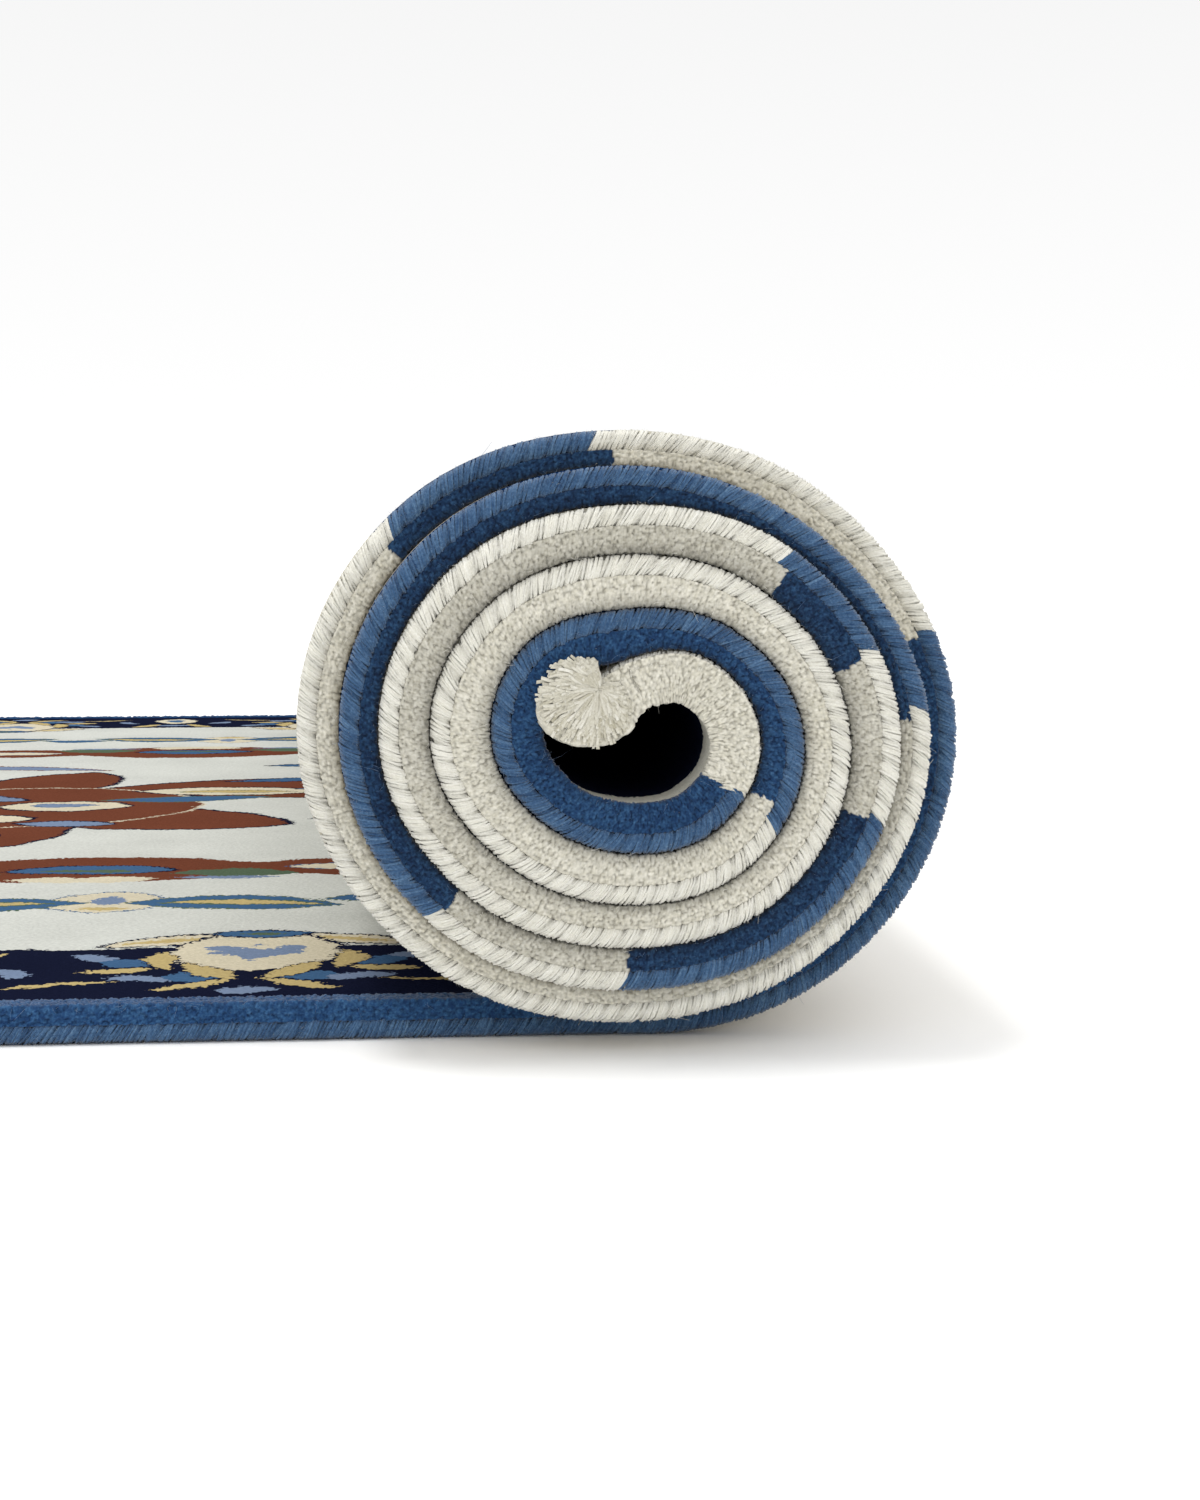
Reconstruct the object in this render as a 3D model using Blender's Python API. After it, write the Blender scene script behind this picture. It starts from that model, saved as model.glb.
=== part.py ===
"""A wool carpet rolled up with its pile inwards, its last stretch still lying flat on the floor.

The carpet is one sheet: a woven back with a pile on it. One overcast binding runs round all four
edges. The sheet is followed from its outer end, along the floor, round the winding and into the
curled inner end, as a row of stations. Each station has a place on the sheet's back, the direction
of the pile there, and how thick the sheet is before the next turn presses on it.

Metres, +Z up. X runs along the carpet's length, Y along the roll. The origin is on the floor under
the middle of the whole part, and the roll's round end that faces -Y is the one that is looked at.
"""

from bisect import bisect_right
from collections import namedtuple
from math import atan2, ceil, cos, degrees, hypot, pi, radians, sin

import bmesh
import bpy
from mathutils import Vector

# The carpet
WIDTH = 1.2
LOOSE_REACH = 0.6            # from under the roll's centre to the carpet's outer end
LOOSE_NAP = 0.013            # thickness of the sheet, back and pile, where it lies free
BINDING_DIAMETER = 0.0062
SEAM = 0.0003                # between the binding and the sheet that it edges
PILE_ROOT = 0.007            # height on the back at which the pile spreads over the binding
PILE_LIP = 0.0008            # the pile stops this far short of the binding's outer side
PILE_SHOULDER = 0.0025       # rounding of the pile's upper edge
SHOULDER_SHARE = 0.6         # share of the pile's height at which that rounding starts

# The roll
CENTRE_HEIGHT = 0.0995
RIGHT_REACH = 0.1096         # from the roll's centre to its far side, away from the loose end
NAP_GAP = 0.0009             # between a turn's pile and the back of the turn inside it
SLIP = 0.04                  # how far the loose end's edge lies behind the roll's flat round end
SLIP_FALL = 4.0              # that distance falls by this factor in each turn
TIGHT_BEND = 0.85            # a pile inside a bend fills this share of the bend's radius
FLAT_STEP = 0.1
PARTS_PER_SECTION = 3
PARTS_PER_CURL = 2

# Distance in mm from the roll's centre to the sheet's back, in eight directions, a row for each
# turn from the outside in. nap is the sheet's free thickness there, in mm.
Turn = namedtuple("Turn", "nap down down_right right up_right up up_left left down_left")
WINDING = (
    Turn(13.5, 99.5, 107.6, 109.7, 100.1, 94.3, 98.0, 99.6, 93.5),
    Turn(13.5, 89.5, 93.5, 96.5, 87.0, 83.0, 85.5, 86.5, 81.5),
    Turn(14.0, 78.0, 83.5, 86.0, 78.0, 71.0, 73.5, 74.5, 67.5),
    Turn(14.5, 64.5, 69.5, 70.0, 62.0, 56.0, 58.0, 59.0, 52.5),
    Turn(11.5, 51.0, 55.5, 55.5, 47.0, 39.5, 41.5, 40.5, 35.5),
)
# The last turn is open: it stops above the centre, where the inner end curls back on itself.
Opening = namedtuple("Opening", "nap down down_right right up_right up")
LAST_TURN = Opening(15.5, 35.0, 40.0, 42.0, 35.0, 24.0)

# The curled inner end, in mm from the roll's centre.
Curl = namedtuple("Curl", "x z nap")
INNER_END = (
    Curl(-4.6, 21.2, 16.5),
    Curl(-8.6, 19.0, 20.0),
    Curl(-11.8, 19.2, 21.0),
    Curl(-14.0, 20.8, 17.5),
    Curl(-15.8, 23.2, 8.5),
)

IVORY_WOOL = (0.74, 0.71, 0.64, 1.0)
BLUE_WOOL = (0.10, 0.20, 0.42, 1.0)
WOOL_ROUGHNESS = 0.95
BINDING_ROUGHNESS = 0.85

MM = 0.001
DIRECTIONS = 8
FIRST_DIRECTION = radians(-90)
BINDING_RADIUS = BINDING_DIAMETER / 2
BINDING_SEAT = BINDING_RADIUS + SEAM       # height of the binding's centre line on the back
EDGE_INSET = BINDING_DIAMETER + SEAM       # from the binding's outer side to the woven back
FLANGE = 0.0002                            # thickness of the pile's root where it stands alone
ROOT_STEP = 0.0005
FOOT_X = (LOOSE_REACH - RIGHT_REACH) / 2   # the roll's centre, from the origin

Station = namedtuple("Station", "s back pile nap slip")


def blend(before, start, end, after, share):
    """A value between start and end on a smooth line through all four."""
    slope_in, slope_out = (end - before) / 2, (after - start) / 2
    rest = start * 2 + slope_in - end * 2 + slope_out
    bend = end * 3 - start * 3 - slope_in * 2 - slope_out
    return ((rest * share + bend) * share + slope_in) * share + start


def winding_marks():
    """The back's marked places round the roll: (turn, distance to the centre, nap), outside in."""
    marks = []
    for turn, row in enumerate((*WINDING, LAST_TURN)):
        for step, distance in enumerate(row[1:]):
            marks.append((turn + step / DIRECTIONS, distance * MM, row.nap * MM))
    return marks


def polar(turn, distance):
    """The place, in the plane across the roll, at this distance from the roll's centre."""
    angle = FIRST_DIRECTION + turn * 2 * pi
    height = CENTRE_HEIGHT + distance * sin(angle)
    return Vector((distance * cos(angle), max(height, 0.0)))


def loose_line():
    """The stretch on the floor, up to the spot under the roll's centre: (place, nap, turn)."""
    pieces = ceil(LOOSE_REACH / FLAT_STEP)
    near_roll = (0.06, 0.03)
    places = [LOOSE_REACH * (1 - i / pieces) for i in range(pieces)] + list(near_roll)
    return [(Vector((-reach, 0.0)), LOOSE_NAP, 0.0) for reach in sorted(places, reverse=True)]


def wound_line():
    """The back's line round the roll, from the floor to above the centre: (place, nap, turn)."""
    marks = winding_marks()
    line = []
    for i in range(len(marks) - 1):
        around = [marks[max(0, min(len(marks) - 1, i + k))] for k in (-1, 0, 1, 2)]
        for part in range(PARTS_PER_SECTION):
            share = part / PARTS_PER_SECTION
            turn = marks[i][0] + share / DIRECTIONS
            distance = blend(*(mark[1] for mark in around), share)
            nap = marks[i][2] * (1 - share) + marks[i + 1][2] * share
            line.append((polar(turn, distance), nap, turn))
    return line


def curl_line(last_place):
    """The curled inner end's line: (place, nap, turn)."""
    up = polar((len(WINDING) + 4 / DIRECTIONS), LAST_TURN.up * MM)
    centre = Vector((0.0, CENTRE_HEIGHT))
    marks = [(last_place, LAST_TURN.nap * MM), (up, LAST_TURN.nap * MM)]
    marks += [(centre + Vector((row.x, row.z)) * MM, row.nap * MM) for row in INNER_END]
    turn = len(WINDING) + 4 / DIRECTIONS
    line = []
    for i in range(1, len(marks) - 1):
        around = [marks[max(0, min(len(marks) - 1, i + k))] for k in (-1, 0, 1, 2)]
        for part in range(PARTS_PER_CURL):
            share = part / PARTS_PER_CURL
            place = blend(*(mark[0] for mark in around), share)
            nap = marks[i][1] * (1 - share) + marks[i + 1][1] * share
            line.append((place, nap, turn))
    line.append((*marks[-1], turn))
    return line


def pile_direction(before, after):
    """Across the line of the back, towards the roll's inside."""
    along = (after - before).normalized()
    return Vector((-along.y, along.x))


def room_above(places, i, direction):
    """How far it is from place i, along direction, to the back of a later turn."""
    start, nearest = places[i], 1.0
    for j in range(i + 4, len(places) - 1):
        step, to = places[j + 1] - places[j], places[j] - start
        across = direction.x * step.y - direction.y * step.x
        if abs(across) < 1e-12:
            continue
        distance = (to.x * step.y - to.y * step.x) / across
        share = (to.x * direction.y - to.y * direction.x) / across
        if 0 <= share <= 1 and 0 < distance < nearest:
            nearest = distance
    return nearest


def bend_radius(before, here, after):
    """The radius of the bend through three places, where it closes on the pile, or a large one."""
    first, second = here - before, after - here
    turned = atan2(first.x * second.y - first.y * second.x, first.dot(second))
    length = (first.length + second.length) / 2
    return length / turned if turned > 1e-4 else 10.0


def stations():
    """The sheet's stations, from its outer end to its inner end."""
    wound = wound_line()
    line = loose_line() + wound
    line += curl_line(line[-1][0])
    places = [entry[0] for entry in line]
    last = len(places) - 1
    row, s = [], 0.0
    for i, (place, nap, turn) in enumerate(line):
        before, after = places[max(0, i - 1)], places[min(last, i + 1)]
        pile = pile_direction(before, after)
        thick = min(nap, room_above(places, i, pile) - NAP_GAP)
        if 0 < i < last:
            s += (place - before).length
            thick = min(thick, TIGHT_BEND * bend_radius(before, place, after))
        elif i == last:
            s += (place - before).length
        row.append(Station(s, place, pile, thick, SLIP / SLIP_FALL**turn))
    return row


class Sheet:
    """The carpet as it lies: turns a place on the flat cut into a place in space."""

    def __init__(self, row):
        self.row = row
        self.marks = [station.s for station in row]
        self.length = self.marks[-1]

    def station(self, s):
        """The station at s along the cut, also a little past either end."""
        i = min(max(bisect_right(self.marks, s) - 1, 0), len(self.row) - 2)
        one, two = self.row[i], self.row[i + 1]
        share = (s - one.s) / (two.s - one.s)
        return Station(s, *(a * (1 - share) + b * share for a, b in zip(one[1:], two[1:])))

    def place(self, s, y, n):
        """The place at s along the cut, y across it and n above its back."""
        at = self.station(s)
        flat = at.back + at.pile.normalized() * n
        return Vector((FOOT_X + flat.x, y + at.slip - SLIP / 2, flat.y))


def section(nap, low, top_share):
    """The sheet's section across its width: (y, n), from one side of the back to the other."""
    edge, lip = WIDTH / 2 - EDGE_INSET, WIDTH / 2 - PILE_LIP
    top = PILE_ROOT + (nap - PILE_ROOT) * top_share
    side = PILE_ROOT + (top - PILE_ROOT) * SHOULDER_SHARE
    half = [
        (edge, low),
        (edge, PILE_ROOT),
        (lip, PILE_ROOT),
        (lip, side),
        (lip - PILE_SHOULDER, top),
    ]
    return [(-y, n) for y, n in half] + [(y, n) for y, n in reversed(half)]


def carpet_rings(sheet):
    """The sections of the woven back and its pile, from the outer end to the inner end."""
    alone = PILE_ROOT - FLANGE
    start, end = EDGE_INSET, sheet.length - EDGE_INSET
    # at, lowest height on the back, share of the pile's full height
    cuts = [
        (PILE_LIP, alone, SHOULDER_SHARE),
        (PILE_LIP + PILE_SHOULDER, alone, 1.0),
        (start, alone, 1.0),
        (start + ROOT_STEP, 0.0, 1.0),
    ]
    cuts += [(s, 0.0, 1.0) for s in sheet.marks if start + FLAT_STEP / 4 < s < end - ROOT_STEP * 2]
    cuts += [
        (end - ROOT_STEP, 0.0, 1.0),
        (end, alone, 1.0),
        (sheet.length - PILE_LIP - PILE_SHOULDER, alone, 1.0),
        (sheet.length - PILE_LIP, alone, SHOULDER_SHARE),
    ]
    rings = []
    for s, low, top_share in cuts:
        nap = sheet.station(s).nap
        rings.append([sheet.place(s, y, n) for y, n in section(nap, low, top_share)])
    return rings


def swept(name, rings):
    """A closed solid that grows from the first ring, ring by ring, to the last."""
    bm = bmesh.new()
    order = bm.verts.layers.int.new("order")
    for i, place in enumerate(rings[0]):
        bm.verts.new(place)[order] = i
    cap = bm.faces.new(bm.verts)
    for ring in rings[1:]:
        region = [cap, *cap.edges, *cap.verts]
        grown = bmesh.ops.extrude_face_region(bm, geom=region)["geom"]
        cap = next(item for item in grown if isinstance(item, bmesh.types.BMFace))
        for vert in cap.verts:
            vert.co = ring[vert[order]]
    bmesh.ops.recalc_face_normals(bm, faces=bm.faces)
    mesh = bpy.data.meshes.new(name)
    bm.to_mesh(mesh)
    bm.free()
    mesh.shade_smooth()
    mesh.set_sharp_from_angle(angle=radians(35))
    return bpy.data.objects.new(name, mesh)


def binding_route(sheet):
    """The binding's centre line round the four edges, with a rounded corner at each."""
    edge_s, edge_y = EDGE_INSET, WIDTH / 2 - EDGE_INSET
    corner = EDGE_INSET - BINDING_RADIUS
    far_s = sheet.length - edge_s
    sides = [s for s in sheet.marks if edge_s + ROOT_STEP < s < far_s - ROOT_STEP]
    # pivot along the cut, pivot across it, heading in degrees at the start of the corner
    corners = ((edge_s, -edge_y, 180), (far_s, -edge_y, 270), (far_s, edge_y, 0), (edge_s, edge_y, 90))
    route = []
    for pivot_s, pivot_y, first in corners:
        for turned in (0, 45, 90):
            angle = radians(first + turned)
            route.append((pivot_s + corner * cos(angle), pivot_y + corner * sin(angle)))
        if (pivot_s, pivot_y) == (edge_s, -edge_y):
            route += [(s, -edge_y - corner) for s in sides]
        elif (pivot_s, pivot_y) == (far_s, edge_y):
            route += [(s, edge_y + corner) for s in reversed(sides)]
    return [sheet.place(s, y, BINDING_SEAT) for s, y in route]


def cord_object(name, route):
    """A round closed cord along a route."""
    curve = bpy.data.curves.new(name, "CURVE")
    curve.dimensions = "3D"
    curve.bevel_depth = BINDING_RADIUS
    curve.bevel_resolution = 2
    spline = curve.splines.new("POLY")
    spline.points.add(len(route) - 1)
    for point, place in zip(spline.points, route):
        point.co = (*place, 1.0)
    spline.use_cyclic_u = True
    return bpy.data.objects.new(name, curve)


def wool(name, colour, roughness):
    """A plain matt wool."""
    material = bpy.data.materials.new(name)
    material.use_nodes = True
    shader = material.node_tree.nodes["Principled BSDF"]
    shader.inputs["Base Color"].default_value = colour
    shader.inputs["Roughness"].default_value = roughness
    shader.inputs["Metallic"].default_value = 0.0
    return material


def main():
    """Builds the carpet and its binding."""
    for old in list(bpy.data.objects):
        bpy.data.objects.remove(old)
    sheet = Sheet(stations())
    carpet = swept("carpet", carpet_rings(sheet))
    carpet.data.materials.append(wool("wool_pile", IVORY_WOOL, WOOL_ROUGHNESS))
    binding = cord_object("edge_binding", binding_route(sheet))
    binding.data.materials.append(wool("wool_binding", BLUE_WOOL, BINDING_ROUGHNESS))
    for piece in (carpet, binding):
        bpy.context.scene.collection.objects.link(piece)
    print(f"flat cut: {WIDTH:.3f} by {sheet.length:.3f} m, {len(sheet.row)} stations")


main()
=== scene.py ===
"""A wool carpet rolled up with its pile inwards, its last stretch lying open on the floor.

Every piece is made flat, in the carpet's own cut: s runs along it from the outer end, y across it
and n up through it from the back. The winding then carries each corner of each piece to its place
in the roll, so yarn, pile and back bend as the carpet does.
"""

import logging
from dataclasses import dataclass, field
from enum import Enum
from math import pi, radians
from typing import NamedTuple

import bmesh
import bpy
import numpy as np
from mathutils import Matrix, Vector


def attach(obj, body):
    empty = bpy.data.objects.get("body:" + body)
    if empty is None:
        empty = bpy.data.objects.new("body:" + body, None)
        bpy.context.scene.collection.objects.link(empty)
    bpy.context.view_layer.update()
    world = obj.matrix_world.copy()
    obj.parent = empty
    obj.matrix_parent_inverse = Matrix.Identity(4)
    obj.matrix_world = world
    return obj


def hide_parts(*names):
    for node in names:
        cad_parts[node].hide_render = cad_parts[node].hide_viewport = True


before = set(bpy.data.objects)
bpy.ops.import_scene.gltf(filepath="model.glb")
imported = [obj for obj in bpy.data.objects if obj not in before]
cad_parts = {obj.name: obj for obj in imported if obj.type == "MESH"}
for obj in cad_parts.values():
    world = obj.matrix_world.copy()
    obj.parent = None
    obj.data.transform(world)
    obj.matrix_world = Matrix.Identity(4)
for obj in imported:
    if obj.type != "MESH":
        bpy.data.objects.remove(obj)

LOG = logging.getLogger("carpet")
Numbers = np.ndarray
MM = 0.001
CARPET = "carpet"
BINDING = "edge_binding"
DIRECTIONS = 8           # in which each turn of the winding is measured
LAST_MARKS = 5           # of which the last turn, which is open, reaches this many
SEED = 20
TINY = 1e-12
MERGE = 1e-7             # corners this close become one
GRID_EDGE = 0.4999       # past this, a corner is on the side of a grid one wide


class Turn(NamedTuple):
    """One turn of the roll: the sheet's free thickness and the back's distances to the centre, mm."""

    nap: float
    down: float
    down_right: float
    right: float
    up_right: float
    up: float
    up_left: float = 0.0
    left: float = 0.0
    down_left: float = 0.0


class Curl(NamedTuple):
    """A place on the back of the curled inner end, from the roll's centre, and the nap there, mm."""

    x: float
    z: float
    nap: float


WINDING = (
    Turn(13.5, 99.5, 107.6, 109.7, 100.1, 94.3, 98.0, 99.6, 93.5),
    Turn(13.5, 89.5, 93.5, 96.5, 87.0, 83.0, 85.5, 86.5, 81.5),
    Turn(14.0, 78.0, 83.5, 86.0, 78.0, 71.0, 73.5, 74.5, 67.5),
    Turn(14.5, 64.5, 69.5, 70.0, 62.0, 56.0, 58.0, 59.0, 52.5),
    Turn(11.5, 51.0, 55.5, 55.5, 47.0, 39.5, 41.5, 40.5, 35.5),
)
LAST_TURN = Turn(15.5, 35.0, 40.0, 42.0, 35.0, 24.0)
INNER_END = (
    Curl(-4.6, 21.2, 16.5),
    Curl(-8.6, 19.0, 20.0),
    Curl(-11.8, 19.2, 21.0),
    Curl(-14.0, 20.8, 17.5),
    Curl(-15.8, 23.2, 8.5),
)


class Dye(Enum):
    """The wool's colours, linear."""

    IVORY = (0.68, 0.665, 0.595)
    PILE_IVORY = (0.60, 0.575, 0.485)
    FIELD_IVORY = (0.50, 0.51, 0.475)
    BLUE = (0.045, 0.102, 0.200)
    DEEP_BLUE = (0.012, 0.048, 0.130)
    NAVY = (0.007, 0.009, 0.024)
    STEEL = (0.15, 0.20, 0.30)
    CREAM = (0.53, 0.48, 0.36)
    STRAW = (0.42, 0.33, 0.15)
    RUST = (0.13, 0.042, 0.024)
    SAGE = (0.075, 0.110, 0.070)


class Block(NamedTuple):
    """A stretch of one colour along the edge: where it starts, in turns, and how far the pile lags."""

    turn: float
    dye: Dye
    lag: float = 0.0


EDGE_BLOCKS = (
    Block(0.301, Dye.IVORY, -0.002),
    Block(0.515, Dye.BLUE, -0.012),
    Block(0.633, Dye.IVORY, 0.008),
    Block(1.264, Dye.BLUE, -0.004),
    Block(1.867, Dye.IVORY, 0.004),
    Block(2.000, Dye.BLUE, 0.003),
    Block(2.200, Dye.IVORY, -0.002),
    Block(2.307, Dye.BLUE, -0.006),
    Block(2.386, Dye.IVORY, -0.008),
    Block(4.164, Dye.BLUE, 0.022),
    Block(5.186, Dye.IVORY, -0.012),
)


def smooth(values: Numbers, parts: int) -> Numbers:
    """Draws a smooth line through rows of values.

    Args:
        values: One row for each mark.
        parts: Steps from one mark to the next.

    Returns:
        The rows from the first mark up to, but without, the last.
    """
    first, last = values[:-1], values[1:]
    before = np.vstack([values[:1], values[:-2]])
    after = np.vstack([values[2:], values[-1:]])
    share = (np.arange(parts) / parts)[None, :, None]
    slope_in = ((last - before) / 2)[:, None]
    slope_out = ((after - first) / 2)[:, None]
    first, last = first[:, None], last[:, None]
    rest = first * 2 + slope_in - last * 2 + slope_out
    bend = last * 3 - first * 3 - slope_in * 2 - slope_out
    line = ((rest * share + bend) * share + slope_in) * share + first
    return line.reshape(-1, values.shape[1])


def unit(rows: Numbers) -> Numbers:
    """Rows of vectors, each made one long."""
    return rows / np.maximum(np.linalg.norm(rows, axis=-1, keepdims=True), TINY)


@dataclass
class Winding:
    """How the carpet lies: from its flat cut to its place on the floor and in the roll."""

    width: float = 1.2
    loose_reach: float = 0.6        # from under the roll's centre to the outer end
    loose_nap: float = 0.013        # thickness of the sheet where it lies free
    centre_height: float = 0.0995
    right_reach: float = 0.1096     # from the roll's centre to its side away from the loose end
    nap_gap: float = 0.0003         # between a turn's pile and the back of the turn inside it
    slip: float = 0.04              # how far the loose end lies behind the roll's near face
    slip_fall: float = 4.0          # that distance falls by this factor in each turn
    tight_bend: float = 0.85        # a pile inside a bend fills this share of the bend's radius
    spring: float = 0.0045          # how much thicker the pile stands where it has room
    spring_fade: float = 0.15       # turns before the last one over which that ends
    near_reach: float = 0.12        # how much of the loose stretch has the finer steps
    far_steps: int = 12
    near_steps: int = 24
    parts: int = 12                 # steps from mark to mark of the turns
    curl_parts: int = 8             # and of the curled end
    clear_steps: int = 16           # steps on from a place, before another turn can press on it
    flattest: float = 0.1           # the least bend that counts, in one over metres

    def __post_init__(self) -> None:
        """Follows the back from the outer end to the inner end."""
        self.foot_x = (self.loose_reach - self.right_reach) / 2
        line = np.vstack([self._loose(), self._wound()])
        line = np.vstack([line, self._curled(line[-1])])
        self.back, nap, self.turn = line[:, :2], line[:, 2], line[:, 3]
        steps = np.linalg.norm(np.diff(self.back, axis=0), axis=1)
        self.s = np.concatenate([[0.0], np.cumsum(steps)])
        self.length = float(self.s[-1])
        along = unit(np.gradient(self.back, axis=0))
        self.pile = np.column_stack([-along[:, 1], along[:, 0]])
        self.nap = self._pressed(nap)
        self.slips = self.slip / self.slip_fall**self.turn

    def _loose(self) -> Numbers:
        """Follows the stretch on the floor.

        Returns:
            Rows of x, z, nap and turn.
        """
        far = np.linspace(-self.loose_reach, -self.near_reach, self.far_steps + 1)[:-1]
        near = np.linspace(-self.near_reach, 0.0, self.near_steps + 1)[:-1]
        x = np.concatenate([far, near])
        return np.column_stack([x, 0 * x, 0 * x + self.loose_nap, 0 * x])

    def _wound(self) -> Numbers:
        """Follows the turns, from the floor to above the roll's centre.

        Returns:
            Rows of x, z, nap and turn.
        """
        distances = [d for row in WINDING for d in row[1:]] + list(LAST_TURN[1 : LAST_MARKS + 1])
        naps = [row.nap for row in WINDING for _ in range(DIRECTIONS)]
        naps += [LAST_TURN.nap] * LAST_MARKS
        marks = smooth(np.column_stack([distances, naps]) * MM, self.parts)
        turn = np.arange(len(marks)) / (self.parts * DIRECTIONS)
        angle = turn * 2 * pi - pi / 2
        x = marks[:, 0] * np.cos(angle)
        z = np.maximum(self.centre_height + marks[:, 0] * np.sin(angle), 0.0)
        return np.column_stack([x, z, marks[:, 1], turn])

    def _curled(self, last: Numbers) -> Numbers:
        """Follows the curled inner end.

        Args:
            last: The last row of the turns before it.

        Returns:
            Rows of x, z, nap and turn.
        """
        turn = len(WINDING) + 0.5
        up = (0.0, LAST_TURN.up, LAST_TURN.nap)
        marks = [(x * MM, self.centre_height + z * MM, nap * MM) for x, z, nap in (up, *INNER_END)]
        marks = np.array([tuple(last[:3]), *marks])
        line = np.vstack([smooth(marks, self.curl_parts)[self.curl_parts :], marks[-1:]])
        return np.column_stack([line, np.full(len(line), turn)])

    def _pressed(self, nap: Numbers) -> Numbers:
        """Presses the sheet between its neighbours.

        Args:
            nap: Its free thickness at each place.

        Returns:
            Its thickness once the next turn and its own bends press on it.
        """
        starts, steps = self.back[:-1], np.diff(self.back, axis=0)
        pressed = nap.copy()
        for i in range(len(nap)):
            later = slice(i + self.clear_steps, None)
            to, step, way = starts[later] - self.back[i], steps[later], self.pile[i]
            across = way[0] * step[:, 1] - way[1] * step[:, 0]
            across = np.where(np.abs(across) < TINY, TINY, across)
            far = (to[:, 0] * step[:, 1] - to[:, 1] * step[:, 0]) / across
            share = (to[:, 0] * way[1] - to[:, 1] * way[0]) / across
            met = far[(share >= 0) & (share <= 1) & (far > 0)]
            if len(met):
                free = met.min() - self.nap_gap
                fade = (len(WINDING) - self.turn[i]) / self.spring_fade
                spring = self.spring * np.clip(fade, 0, self.turn[i] > 0)
                pressed[i] = min(pressed[i] + spring, free)
        heading = np.unwrap(np.arctan2(-self.pile[:, 0], self.pile[:, 1]))
        turning = np.maximum(np.gradient(heading, self.s), self.flattest)
        return np.minimum(pressed, self.tight_bend / turning)

    def at_turn(self, turn: float) -> float:
        """The place along the cut at which so many turns are wound."""
        wound = self.turn > 0
        return float(np.interp(turn, self.turn[wound], self.s[wound]))

    def nap_at(self, s: Numbers) -> Numbers:
        """The sheet's thickness at s."""
        return np.interp(s, self.s, self.nap)

    def place(self, cut: Numbers) -> Numbers:
        """Carries places in the flat cut to their places in the roll.

        Args:
            cut: Rows of s, y and n, of any leading shape.

        Returns:
            Rows of x, y and z of the same shape.
        """
        s, y, n = cut[..., 0], cut[..., 1], cut[..., 2]
        held = np.clip(s, 0.0, self.length)
        back = np.stack([np.interp(held, self.s, self.back[:, k]) for k in (0, 1)], -1)
        pile = unit(np.stack([np.interp(held, self.s, self.pile[:, k]) for k in (0, 1)], -1))
        past = s - held
        x = self.foot_x + back[..., 0] + pile[..., 0] * n + pile[..., 1] * past
        z = back[..., 1] + pile[..., 1] * n - pile[..., 0] * past
        slip = np.interp(held, self.s, self.slips)
        return np.stack([x, y + slip - self.slip / 2, np.maximum(z, 0.0)], -1)


def uneven(wool: Numbers, random: np.random.Generator, spread: float) -> Numbers:
    """Wool colours, each made a little lighter or darker, dark ones by more."""
    return wool ** np.exp(random.normal(0, spread, len(wool)))[:, None]


@dataclass
class ColourPlan:
    """Which wool is where: the blocks of colour along the edges."""

    winding: Winding

    def __post_init__(self) -> None:
        """Finds where each block starts along the cut."""
        self.starts = np.array([self.winding.at_turn(block.turn) for block in EDGE_BLOCKS])
        self.lags = np.array([self.winding.at_turn(b.turn + b.lag) for b in EDGE_BLOCKS])

    def edge(self, s: Numbers, blue: Dye, pile: bool) -> Numbers:
        """The edge's colour at s.

        Args:
            s: Places along the cut.
            blue: Which blue the blue blocks have.
            pile: Whether it is the pile's colour, which changes a little off the binding's.

        Returns:
            Rows of red, green and blue.
        """
        order = np.searchsorted(self.lags if pile else self.starts, s)
        ivory = Dye.PILE_IVORY if pile else Dye.IVORY
        wools = [blue.value] + [(blue if b.dye is Dye.BLUE else ivory).value for b in EDGE_BLOCKS]
        return np.array(wools)[order]


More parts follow.
